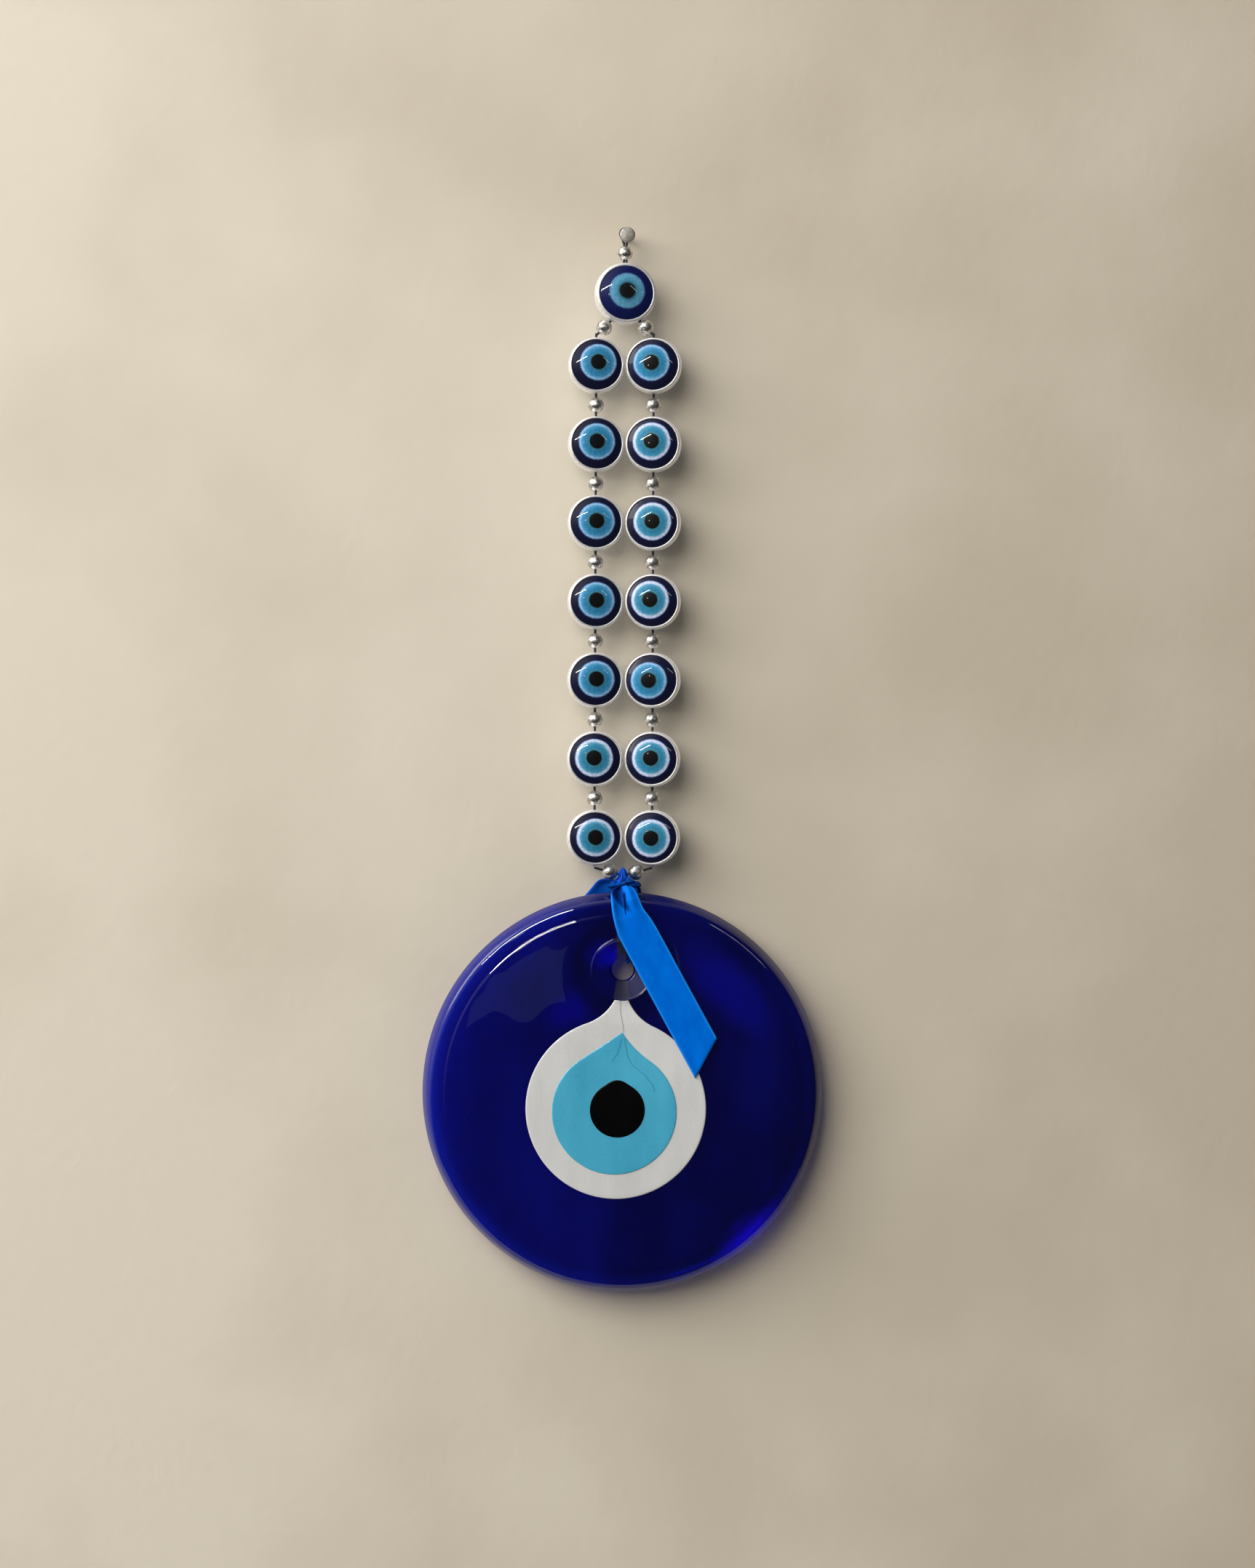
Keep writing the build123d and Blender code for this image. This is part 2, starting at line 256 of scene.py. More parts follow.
class Value:
    """A node's output. Signs between values, or a value and a number, add the math nodes."""

    def __init__(self, shader, socket):
        self.shader = shader
        self.socket = socket

    def __add__(self, other):
        return self.shader.math("ADD", self, other)

    def __sub__(self, other):
        return self.shader.math("SUBTRACT", self, other)

    def __mul__(self, other):
        return self.shader.math("MULTIPLY", self, other)

    def __abs__(self):
        return self.shader.math("ABSOLUTE", self)

    def remap(self, low, high, to_low, to_high):
        """The value taken smoothly from one range to another."""
        return self.shader.value("ShaderNodeMapRange", "Result", interpolation_type="SMOOTHSTEP", Value=self,
                                 From_Min=low, From_Max=high, To_Min=to_low, To_Max=to_high)

    def window(self, start, full, fading, end, height=1.0):
        """0 up to start, the height between full and fading, and 0 again from the end."""
        return self.remap(start, full, 0.0, 1.0) * self.remap(fading, end, height, 0.0)

    def ramp(self, *stops):
        """The value as a colour, through (place, colour) stops."""
        made = self.shader.node("ShaderNodeValToRGB", Fac=self)
        elements = made.color_ramp.elements
        while len(elements) < len(stops):
            elements.new(0.5)
        for element, (place, colour) in zip(elements, stops):
            element.position = place
            element.color = (*colour, 1)
        return Value(self.shader, made.outputs["Color"])


class Shader:
    """A node material with one Principled shader, and short ways to add nodes to it."""

    def __init__(self, name, **values):
        self.material = bpy.data.materials.new(name)
        self.material.use_nodes = True
        self.tree = self.material.node_tree
        self.base = self.tree.nodes["Principled BSDF"]
        self.output = self.tree.nodes["Material Output"]
        self.set(**values)
        self.point = self.value("ShaderNodeMapping", "Vector", Scale=(1 / MM,) * 3,
                                Vector=self.value("ShaderNodeTexCoord", "Object"))     # in millimetres

    def fill(self, socket, value):
        """Joins a node's output to a socket, or sets a plain value."""
        if isinstance(value, Value):
            self.tree.links.new(value.socket, socket)
        else:
            socket.default_value = value

    def set(self, **values):
        """Fills sockets of the Principled shader."""
        for key, value in values.items():
            self.fill(self.base.inputs[key.replace("_", " ")], value)

    def node(self, kind, **values):
        """Adds a node. A name with a capital is a socket's, and any other is a setting's."""
        made = self.tree.nodes.new(kind)
        for key, value in values.items():
            if key[0].isupper():
                self.fill(made.inputs[key.replace("_", " ")], value)
            else:
                setattr(made, key, value)
        return made

    def value(self, kind, output, **values):
        """Adds a node and gives one of its outputs."""
        return Value(self, self.node(kind, **values).outputs[output])

    def math(self, operation, *values):
        made = self.node("ShaderNodeMath", operation=operation)
        for socket, value in zip(made.inputs, values):
            self.fill(socket, value)
        return Value(self, made.outputs[0])

    def length(self, across, up):
        return self.math("SQRT", across * across + up * up)

    def noise(self, scale, detail=3.0, stretch=(1, 1, 1), point=None):
        """Noise from 0 to 1 whose blobs are about 1/scale millimetres across."""
        place = self.value("ShaderNodeMapping", "Vector", Scale=stretch, Vector=point or self.point)
        return self.value("ShaderNodeTexNoise", "Fac", Scale=scale, Detail=detail, Vector=place)

    def mix(self, amount, first, second, blend="MIX"):
        made = self.node("ShaderNodeMix", data_type="RGBA", blend_type=blend)
        for index, value in ((0, amount), (6, first), (7, second)):
            self.fill(made.inputs[index], (*value, 1) if isinstance(value, tuple) else value)
        return Value(self, made.outputs[2])

    def split(self, point=None):
        made = self.node("ShaderNodeSeparateXYZ", Vector=point or self.point)
        return [Value(self, output) for output in made.outputs]

    def bump(self, height, depth):
        """Bumps of a height from 0 to 1 times depth, in millimetres."""
        self.set(Normal=self.value("ShaderNodeBump", "Normal", Strength=1.0, Distance=depth * MM,
                                   Height=height))


def silver_finish(name, dull, bright, rough, smooth, dents):
    """Plating with faint casting waves, fine scratches and a little tarnish."""
    shader = Shader(name, Metallic=1.0)
    shader.set(
        Base_Color=shader.noise(0.9, 4.0).ramp((0.3, dull), (0.62, bright)),
        Roughness=shader.noise(6.0, 2.0, (1, 1, 7)).remap(0.35, 0.75, smooth, rough),
    )
    shader.bump(shader.noise(1.1, 4.0), dents)
    return shader.material


def cord_finish():
    """Waxed twisted polyester cord, almost black."""
    shader = Shader("waxed_cord", Specular_IOR_Level=0.35, Sheen_Weight=0.2, Sheen_Roughness=0.4)
    x, y, z = shader.split()
    twist = shader.math("SINE", z * 9.0 + shader.math("ARCTAN2", y, x))
    fibre = shader.noise(9.0, 4.0, (1, 1, 0.35))
    shader.set(
        Base_Color=fibre.ramp((0.3, (0.008, 0.009, 0.014)), (0.75, (0.05, 0.05, 0.065))),
        Roughness=fibre.remap(0.3, 0.7, 0.45, 0.7),
    )
    shader.bump(twist * 0.5 + fibre, 0.05)
    return shader.material


def eye_finish(name, rings):
    """Glossy domed enamel: colours by distance from the middle, in millimetres, with soft edges."""
    shader = Shader(name, Coat_Weight=0.45, Coat_Roughness=0.02, Roughness=0.4, Specular_IOR_Level=0.1)
    x, _, z = shader.split()
    widest = 10.0
    reach = shader.length(x, z) + (shader.noise(0.35, 2.0, (1, 0, 1)) - 0.5) * 0.35
    colour = (reach * (1 / widest)).ramp(*[(edge / widest, colour) for edge, colour in rings])
    shade = shader.noise(1.1, 5.0, (1, 0, 1)).remap(0.3, 0.75, 0.78, 1.12)
    mottle = shader.value("ShaderNodeCombineColor", "Color", Red=shade, Green=shade, Blue=shade)
    shader.set(Base_Color=shader.mix(1.0, colour, mottle, "MULTIPLY"))
    shader.bump(shader.noise(0.25, 2.0), 0.01)
    return shader.material


# Painted glows, lighter blue patches painted into the cobalt glass where light gathers in it: middle (x, z),
# turn in degrees, reach, strength and colour
PAINTED_GLOWS = (
    ((42.0, -46.0), 42.0, (19.0, 8.0), 1.0, (0.02, 0.0, 1.0)),
    ((-17.0, 27.0), 30.0, (12.0, 8.0), 0.6, (0.006, 0.0, 0.7)),
    ((-6.0, 45.0), 0.0, (9.0, 7.0), 0.9, (0.006, 0.0, 1.0)),
    ((34.0, 34.0), -45.0, (26.0, 12.0), 0.7, (0.010, 0.010, 0.70)),
)


def cobalt_finish():
    """Deep cobalt glass, with the grey drag of the piercing rod above and below the hole, and painted light
    and shade: glows, a lighter left side, a darker ring in the dish round the hole and a rim band lit more on
    the left.
    """
    shader = Shader("cobalt_glass", Roughness=0.0, IOR=1.5, Transmission_Weight=0.8, Specular_IOR_Level=0.5)
    x, _, z = shader.split()
    # Random tone, with painted light: the glass is painted lighter towards the left, where the light comes
    # from.
    tone = shader.noise(0.035, 4.0, (1, 1, 0.6)) + x.remap(-60.0, 45.0, 0.30, 0.0)
    glass = tone.ramp((0.25, (0.001, 0.001, 0.11)), (0.55, (0.002, 0.003, 0.21)),
                      (0.85, (0.006, 0.010, 0.44)))
    # Painted glows: lighter blue patches where light gathers in the glass.
    for centre, turn, reach, strength, colour in PAINTED_GLOWS:
        spot = shader.value("ShaderNodeMapping", "Vector", vector_type="TEXTURE", Vector=shader.point,
                            Location=(centre[0], 0, centre[1]), Rotation=(0, -math.radians(turn), 0),
                            Scale=(reach[0], 1, reach[1]))
        across, _, up = shader.split(spot)
        off = shader.length(across, up) + (shader.noise(0.12, 2.0) - 0.5) * 0.5
        glass = shader.mix(off.remap(0.2, 1.0, strength, 0.0), glass, colour)
    # Painted shade: a darker ring in the dish round the hole.
    dish = shader.length(x, z - HOLE.y).window(9.6, 10.4, 15.0, 18.6, 0.55)
    glass = shader.mix(dish, glass, (0.002, 0.002, 0.07))
    # A lighter blue band where the glass thins at the rim, painted stronger on the left as painted light.
    rim = shader.length(x, z).remap(57.5, 63.0, 0.0, 0.6) * x.remap(-65.0, 30.0, 1.0, 0.15)
    glass = shader.mix(rim, glass, (0.01, 0.04, 0.85))
    off_line = abs(x + 0.3) - z.remap(30.0, 37.0, 0.9, 0.0)
    drag = z.window(42.0, 43.0, 50.0, 56.0) + z.window(30.0, 31.0, 36.0, 37.0)
    drag = off_line.remap(1.3, 2.1, 1.0, 0.0) * drag
    shader.set(Base_Color=shader.mix(drag, glass, (0.085, 0.09, 0.16)))
    absorb = shader.value("ShaderNodeVolumeAbsorption", "Volume", Color=(0.02, 0.05, 0.90, 1), Density=60.0)
    shader.fill(shader.output.inputs["Volume"], absorb)
    return shader.material


def opaque_glass(name, dark, light, line_colour=None, lines=(), coat=1.0):
    """Opaque fire-polished glass with faint drawn swirls and hairlines, each as (height, x) stops."""
    shader = Shader(name, Coat_Weight=coat, Coat_Roughness=0.02, Roughness=0.25, Specular_IOR_Level=0.1)
    tone = shader.noise(0.10, 4.0, (1, 1, 0.35)) * 0.75 + shader.noise(1.2, 5.0) * 0.25
    colour = tone.ramp((0.33, dark), (0.66, light))
    x, _, z = shader.split()
    widest = 20.0
    for stops in lines:
        high, low = stops[0][0], stops[-1][0]
        share = (z - high) * (1 / (low - high))
        places = [((high - up) / (high - low), (0.5 + 0.5 * at / widest,) * 3) for up, at in stops]
        curve = share.ramp(*places)
        near = abs(x - (curve - 0.5) * (2 * widest)).remap(0.08, 0.30, 0.75, 0.0)
        colour = shader.mix(near * z.window(low, low + 1.5, high - 0.5, high), colour, line_colour)
    shader.set(Base_Color=colour)
    shader.bump(shader.noise(0.12, 2.0), 0.08)
    return shader.material


def satin_finish(name, deep, light, crease_shade=None, gathered=False):
    """Satin: long floats along the ribbon, a close weave and a painted highlight along both edges. Painted
    shade is laid along a pleat, given as its place across and its lean. Gathered satin gets painted shade in
    random folds."""
    shader = Shader(name, Specular_IOR_Level=0.25, Sheen_Weight=0.12, Sheen_Roughness=0.3, Anisotropic=0.5,
                    Sheen_Tint=(0.0, 0.40, 1.0, 1), Specular_Tint=(0.02, 0.55, 1.0, 1))
    weave = shader.value("ShaderNodeUVMap", "UV")
    u, v, _ = shader.split(weave)
    threads = shader.noise(1.0, 3.0, (9.0, 0.5, 1), weave)
    picks = shader.noise(1.0, 2.0, (3.0, 5.0, 1), weave)
    colour = shader.noise(0.18, 3.0, (1.0, 0.5, 1), weave).ramp((0.3, deep), (0.7, light))
    thread_dark = tuple(0.62 * share for share in deep)
    colour = shader.mix(threads.remap(0.4, 0.75, 0.0, 0.3), colour, thread_dark)
    half = RIBBON_WIDTH / 2
    # Painted highlight along both edges, where they curl.
    edge_highlight = abs(u - half).remap(half - 0.9, half - 0.25, 0.0, 0.5)
    colour = shader.mix(edge_highlight, colour, (0.02, light[1] * 1.8, 0.95))
    if gathered:
        # Painted shade in random folds of the gathered cloth.
        folds = shader.noise(1.0, 2.0, (0.75, 0.22, 1), weave)
        colour = shader.mix(folds.remap(0.42, 0.58, 0.85, 0.0), colour, (0.0, 0.006, 0.07))
    if crease_shade:
        start, lean = crease_shade
        # Painted shade along the pleat's hollow.
        off = abs(u - (v * lean + start)) + v * 0.31
        shade = off.remap(3.0, 4.8, 1.0, 0.0) * v.remap(8.0, 12.0, 0.95, 0.0)
        colour = shader.mix(shade, colour, (0.0, 0.012, 0.13))
    shader.set(Base_Color=colour, Roughness=picks.remap(0.3, 0.7, 0.42, 0.6))
    shader.bump(threads + picks * 0.6, 0.02)
    return shader.material


NAVY = (0.006, 0.007, 0.030)
INK = (0.004, 0.004, 0.005)
EYE_LOOKS = {
    "white_ringed": [
        (0.0, INK), (2.35, INK), (2.52, (0.03, 0.15, 0.18)), (2.85, (0.055, 0.25, 0.36)),
        (3.4, (0.03, 0.21, 0.38)), (4.3, (0.045, 0.28, 0.45)), (4.85, (0.10, 0.35, 0.54)),
        (5.2, (0.40, 0.58, 0.80)), (5.6, (0.72, 0.80, 0.95)), (6.0, (0.50, 0.60, 0.85)),
        (6.2, (0.03, 0.05, 0.18)), (6.5, NAVY),
    ],
    "pale_ringed": [
        (0.0, INK), (2.35, INK), (2.52, (0.03, 0.14, 0.18)), (2.9, (0.045, 0.23, 0.37)),
        (3.6, (0.03, 0.21, 0.42)), (4.4, (0.04, 0.28, 0.51)), (5.0, (0.11, 0.37, 0.62)),
        (5.45, (0.34, 0.58, 0.86)), (5.75, (0.22, 0.40, 0.66)), (6.0, (0.02, 0.04, 0.12)), (6.3, NAVY),
    ],
    "top": [
        (0.0, INK), (2.4, (0.008, 0.009, 0.010)), (2.6, (0.02, 0.09, 0.12)), (3.2, (0.06, 0.25, 0.39)),
        (4.2, (0.10, 0.34, 0.52)), (5.1, (0.13, 0.37, 0.56)), (5.6, (0.10, 0.26, 0.44)),
        (5.85, (0.015, 0.030, 0.14)), (6.3, (0.006, 0.010, 0.085)), (8.3, (0.005, 0.009, 0.075)),
    ],
}

silver = silver_finish("polished_silver", (0.22, 0.20, 0.17), (0.90, 0.88, 0.84), 0.40, 0.24, 0.22)
cast_silver = silver_finish("cast_silver", (0.90, 0.88, 0.87), (1.0, 0.99, 0.99), 0.70, 0.52, 0.02)
waxed = cord_finish()

white_glass = opaque_glass(
    "white_glass", (0.60, 0.60, 0.58), (0.71, 0.71, 0.69), (0.30, 0.30, 0.31),
    [[(31.0, -0.7), (26.0, -0.6), (22.0, 0.2), (19.0, 0.5)]],
)
blue_glass = opaque_glass(
    "light_blue_glass", (0.054, 0.36, 0.54), (0.084, 0.455, 0.65), (0.03, 0.24, 0.36),
    [[(18.0, 0.0), (12.8, -1.7), (9.5, -3.9)],
     [(18.0, 0.6), (11.7, 1.8), (9.0, 3.4), (6.3, 6.9), (3.0, 9.7), (0.0, 10.8)]],
)
black_glass = opaque_glass("black_glass", (0.0008, 0.0007, 0.0009), (0.0022, 0.0020, 0.0026), coat=0.2)
satin = satin_finish("blue_satin", (0.000, 0.125, 0.66), (0.000, 0.18, 0.80), (1.0, 0.55))
# A satin copy with painted light, for the knot's wrap that the light falls on.
painted_light_satin = satin_finish("painted_light_satin", (0.000, 0.040, 0.28), (0.000, 0.12, 0.55), None, True)
# Darker satin for the back tail: partly the duller reverse of the satin, partly painted shade.
shaded_satin = satin_finish("shaded_satin", (0.000, 0.018, 0.17), (0.001, 0.075, 0.40))
# A darker satin copy with painted shade, for the gathered knot and loop.
shaded_gathered_satin = satin_finish("shaded_gathered_satin", (0.000, 0.018, 0.16), (0.001, 0.065, 0.36), None, True)
eye_looks = {name: eye_finish(f"enamel_{name}", rings) for name, rings in EYE_LOOKS.items()}


# ---- Beads

SEAT_DEPTH = 2.3
CASE_RIM = 3.4
EYE_EDGE = 3.2
EYE_TOP = 5.0
BALL_RADIUS = 2.58


def case_profile(radius, insert):
    """Half of a case's section from the front seat's middle to the belly, and back to the rear seat."""
    edge = radius - 0.42
    rim = [(0, -SEAT_DEPTH), (insert - 0.4, -SEAT_DEPTH), (insert, -SEAT_DEPTH)]
    for start, steps in (
        (insert, ((0, 0.25), (0.06, 0.08), (0.22, -0.02), (0.42, 0.02))),
        (edge, ((-0.12, 0.12), (0, 0.32), (0.02, 0.55), (-0.06, 0.7), (-0.05, 0.82))),
    ):
        rim += [(start + out, back - CASE_RIM) for out, back in steps]
    belly = [(edge + 0.36 * (1 - along**2), along * (CASE_RIM - 0.95)) for along in np.linspace(-1, 1, 15)]
    return rim + belly + [(r, -y) for r, y in reversed(rim)], len(rim), len(belly)


def case_mesh(name, radius, insert, cutters):
    """A cast case with a milled belly: two rows of small beads round it between plain edges."""
    profile, start, count = case_profile(radius, insert)

    def ripple(angle, index):
        along = (index - start + 0.5) / count
        if not 0 <= along <= 1:
            return 0
        knurl = abs(math.sin(angle * 30 + math.pi * 0.5 * int(along * 3)))
        return -0.13 + 0.13 * math.sqrt(knurl) * abs(math.sin(along * 3 * math.pi)) ** 0.5

    return bored(mesh_data(name, *lathe(profile, 240, ripple=ripple)), cutters)


def domes(insert):
    """The front and back eyes of one bead: domed glass with a rounded edge."""
    base = insert - 0.12
    rise = EYE_TOP - EYE_EDGE
    bend = (base * base + rise * rise) / (2 * rise)
    seat = SEAT_DEPTH + 0.02
    profile = [(0, seat), (insert - 0.3, seat), (insert - 0.04, seat)]
    profile += [(insert - 0.04, EYE_EDGE - 0.1), (insert - 0.07, EYE_EDGE - 0.03)]
    for reach in np.linspace(base, 0, 25):
        profile.append((reach, EYE_TOP - bend + math.sqrt(bend * bend - reach * reach)))
    points, faces = lathe(profile, 120)
    front = ([Vector((p.x, -p.y, p.z)) for p in points], [face[::-1] for face in faces])
    return joined([(points, faces), front])


def ball(radius):
    """A round bead, standing on its bore, whose edges are slightly broken."""
    bore = BORE_RADIUS + 0.02
    edge = math.asin((bore + 0.12) / radius)
    mouth = radius * math.cos(edge)
    profile = flat_arc((0, 0), radius, math.pi / 2 - edge, edge - math.pi / 2, 40)
    profile += [(bore + 0.03, 0.02 - mouth), (bore, 0.12 - mouth)]
    profile += [(bore, mouth - 0.12), (bore + 0.03, mouth - 0.02)]
    return lathe(profile, 64, "Z", closed=True)


def spread(row):
    """How far the strands of a row stand from the middle."""
    return joint_point(f"right_eye_{row}_spin").x


def eye_bead(name, case, eyes, look, shift, matrix):
    """An eye bead: its case, and its two eyes, whose pattern sits a little off the middle."""
    piece(f"{name}_silver_case", case, cast_silver, name, [f"{name}_case"], matrix)
    off = Vector((shift[0], 0, shift[1]))
    piece(f"{name}_domes", moved(eyes, -off), eye_looks[look], name, [f"{name}_glass"],
          matrix @ Matrix.Translation(off * MM))


# Each small eye bead's turn in degrees, as in the CAD, where its pattern sits off its middle (x, z), and
# its look, from the first row down
PALE, WHITE = "pale_ringed", "white_ringed"
EYES = {
    "left": [(5, 0.4, 0.7, PALE), (7, -0.1, 0.6, PALE), (4, 0.1, 0.4, PALE), (6, 0.0, 0.25, PALE),
             (5, 0.1, 0.3, PALE), (3, -0.4, 0.3, WHITE), (6, -0.1, 0.1, WHITE)],
    "right": [(-4, -0.5, 0.6, PALE), (-5, -0.3, 0.7, WHITE), (-6, 0.1, 0.3, WHITE), (-4, -0.7, 0.5, WHITE),
              (-7, -0.8, -0.1, PALE), (-5, -0.2, 0.3, WHITE), (-4, -0.1, -0.1, WHITE)],
}
EYE_INSERT = half_height("left_eye_1_glass")
EYE_RADIUS = half_height("left_eye_1_case") + 0.02
TOP_INSERT = half_height("top_eye_glass")
TOP_RADIUS = 10.1
TOP_TURN = 8
STRAND = 0.42          # how far the two strands through the top beads stand from the middle

bore = tube([(0, 0, -14), (0, 0, 14)], BORE_RADIUS, 24, False)
row_case = case_mesh("row_case", EYE_RADIUS, EYE_INSERT + 0.05, [bore])
row_domes = domes(EYE_INSERT)
for row in range(1, ROWS + 1):
    for side, x in (("left", -spread(row)), ("right", spread(row))):
        turn, *shift, look = EYES[side][row - 1]
        matrix = placed((x, 0, middle(f"left_eye_{row}_case").z), turn)
        eye_bead(f"{side}_eye_{row}", row_case, row_domes, look, shift, matrix)
    if row < ROWS:
        pair = joined([moved(ball(BALL_RADIUS), (x, 0, 0)) for x in (-spread(row), spread(row))])
        piece(f"row_{row}_ball_pair", pair, silver, f"row_{row}", [f"row_{row}_balls"],
              placed((0, 0, middle(f"row_{row}_balls").z)))


def shoulder_route(side):
    """One strand's way through the large bead, as in the CAD."""
    stations = ((STRAND, -9.65), (STRAND, -12.2), (0.55, -14.6), (1.05, -16.9), (4.2, -26.8),
                (4.95, -28.7), (6.4, -30.15), (9.34, -33.05))
    return [(side * x, 0, z) for x, z in stations]


def top_cutter(side):
    """One of the large bead's two bores, in the bead's own place."""
    path = [(side * STRAND, 0, -5)] + smooth_path(shoulder_route(side), 4)
    return tube([top_matrix.inverted() @ (Vector(p) * MM) / MM for p in path], BORE_RADIUS, 20, False)


top_matrix = placed((0, 0, joint_point("top_fold").z - 10.4), TOP_TURN)
top_case = case_mesh("top_case", TOP_RADIUS, TOP_INSERT + 0.05, [top_cutter(-1), top_cutter(1)])
eye_bead("top_eye", top_case, domes(TOP_INSERT), "top", (0.1, 0.5), top_matrix)
piece("top_ball_bead", ball(2.48), silver, "top_ball", ["top_ball"],
      placed((0, 0, middle("top_ball").z)))
ball_mesh = mesh_data("ball", *ball(BALL_RADIUS))
for pair, body, lean in (("shoulder_balls", "top_eye", 45.0), ("foot_balls", "foot_balls", -74.8)):
    low, high = corners(pair)
    for side, name in ((-1, "left"), (1, "right")):
        matrix = placed((side * (high.x - 2.6), 0, (low.z + high.z) / 2), 0, -side * lean)
        piece(f"{pair[:-1]}_{name}", ball_mesh, silver, body, [pair], matrix)


# ---- Cord


def cords(name, body, routes, replaced):
    """Stretches of cord that ride on one body."""
    piece(name, joined([tube(route, CORD_RADIUS) for route in routes]), waxed, body, replaced)


def flexing(name, joint, x, top, bottom):
    """The short stretch of cord at a joint, between one body and the next. It rides on no body."""
    z = joint_point(joint).z
    routes = [straight((side * x, 0, z + top), (side * x, 0, z - bottom), 16) for side in (-1, 1)]
    made = piece(name, joined([tube(route, CORD_RADIUS - 0.01) for route in routes]), waxed, None)
    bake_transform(made)


def cord_top():
    """The loop over the nail, from one side of the round bead to the other."""
    reach = corners("hanging_loop")[1].z - CORD_RADIUS
    round_nail = flat_arc((0, 0), reach, math.radians(-24.3), math.radians(204.3), 32)
    path = [(STRAND, -3.2), (0.9, -2.0)] + [tuple(p) for p in round_nail] + [(-0.9, -2.0), (-STRAND, -3.2)]
    return [(x, 0, z) for x, z in path]


cords("cord_loop", "loop", [smooth_path(cord_top(), 2)], ["hanging_loop"])
cords("cord_in_top_ball", "top_ball",
      [straight((x, 0, -4.9), (x, 0, -8.75)) for x in (-STRAND, STRAND)], ["top_ball_cords"])
cords("cord_in_top_eye", "top_eye", [smooth_path(shoulder_route(side), 6) for side in (-1, 1)],
      ["top_eye_cords"])
for row in range(1, ROWS + 1):
    low, high = corners(f"row_{row}_cords")
    routes = [straight((x, 0, high.z - CORD_RADIUS), (x, 0, low.z + CORD_RADIUS), 24)
              for x in (-spread(row), spread(row))]
    cords(f"cord_in_row_{row}", f"row_{row}", routes, [f"row_{row}_cords"])
cords("cord_in_foot_balls", "foot_balls",
      [straight((side * 9.1, 0, -206.1), (side * 0.9, 0, -208.32)) for side in (-1, 1)], ["foot_cords"])
flexing("cord_bend_sway", "sway", STRAND, 0.6, 1.2)
flexing("cord_bend_top", "top_fold", STRAND, 0.8, 0.8)
for row in range(1, ROWS + 1):
    flexing(f"cord_bend_{row}", f"row_{row}_fold", spread(row), 0.8, 0.8)

# ---- Glass disc

DISC_Z = middle("glass_disc").z
DISC_RADIUS = 65.0
HALF_THICKNESS = 5.5
HOLE = Vector((0, 39.9))
HOLE_RADIUS = 3.5
HOLE_TIP = 4.9
DIMPLE_RADIUS = 19.0
LIP_RADIUS = 9.9


def through(stops, value):
    """The height at a value on straight lines through (value, height) stops."""
    return float(np.interp(value, *zip(*stops)))


def bump_at(value, centre, width):
    """A smooth bump of height 1."""
    return math.exp(-(((value - centre) / width) ** 2))


def smooth_rim(radius):
    """How far the front face has fallen back at a distance from the disc's middle."""
    stops = ((57.0, 0.0), (57.15, 0.02), (57.3, 0.06), (57.6, 0.147), (57.9, 0.252), (58.0, 0.29),
             (58.2, 0.33), (58.5, 0.36), (60.9, 0.54), (61.2, 0.60), (61.5, 0.69), (61.8, 0.79),
             (62.1, 0.90), (62.4, 1.07), (62.8, 1.45), (63.2, 2.02), (63.6, 2.76), (64.0, 3.66),
             (64.4, 4.70), (64.7, 5.58), (DISC_RADIUS, 6.5))
    return sum(through(stops, radius + shift) for shift in (-0.16, -0.08, 0, 0.08, 0.16)) / 5


def crater(reach):
    """Depth of the dimple and the funnel at a distance from the hole's middle."""
    if reach >= DIMPLE_RADIUS:
        return 0.0
    dish = 0.5 - 0.5 * math.cos(math.pi * min(1, (DIMPLE_RADIUS - reach) / (DIMPLE_RADIUS - LIP_RADIUS)))
    inside = max(0.0, LIP_RADIUS - reach)
    ridge = 0.26 * bump_at(reach, LIP_RADIUS + 0.05, 0.42)
    return 0.95 * dish - ridge + 0.46 * (math.sqrt(inside * inside + 0.16) - 0.4)


def waves(x, z):
    """The slow unevenness of hand-pressed glass."""
    spot = Vector((x / 34.0, z / 46.0, 3.7))
    return 0.17 * noise.noise(spot) + 0.04 * noise.noise(spot * 3.1)


def hole_outline(angle):
    """Distance from the hole's middle to its edge: a round with a point at the top."""
    open_half = math.acos(HOLE_RADIUS / HOLE_TIP)
    lean = abs(math.atan2(math.cos(angle), math.sin(angle)))
    return HOLE_RADIUS / math.cos(max(0.0, open_half - lean))


def ray_to_circle(angle, radius):
    """Distance from the hole's middle to a circle round the disc's middle."""
    along = Vector((math.cos(angle), math.sin(angle))).dot(HOLE)
    return -along + math.sqrt(along * along - HOLE.length_squared + radius * radius)


def front(flat, reach):
    """Depth of the disc's front face."""
    fade_out = min(1.0, max(0.0, (60 - flat.length) / 6))
    return -HALF_THICKNESS + smooth_rim(flat.length) + crater(reach) + waves(*flat) * fade_out


def back(flat, reach):
    """Depth of the disc's back, which turns in at the rim and at the hole."""
    turn = max(0.0, (flat.length - 59.5) / 5.5)
    fall = 4.5 * (1 - math.sqrt(max(0.0, 1 - turn**2.4)))
    near = max(0.0, 1 - (reach - HOLE_RADIUS) / 1.2)
    return HALF_THICKNESS - fall - 0.35 * near**2 - abs(waves(-flat.x, flat.y)) * 0.6


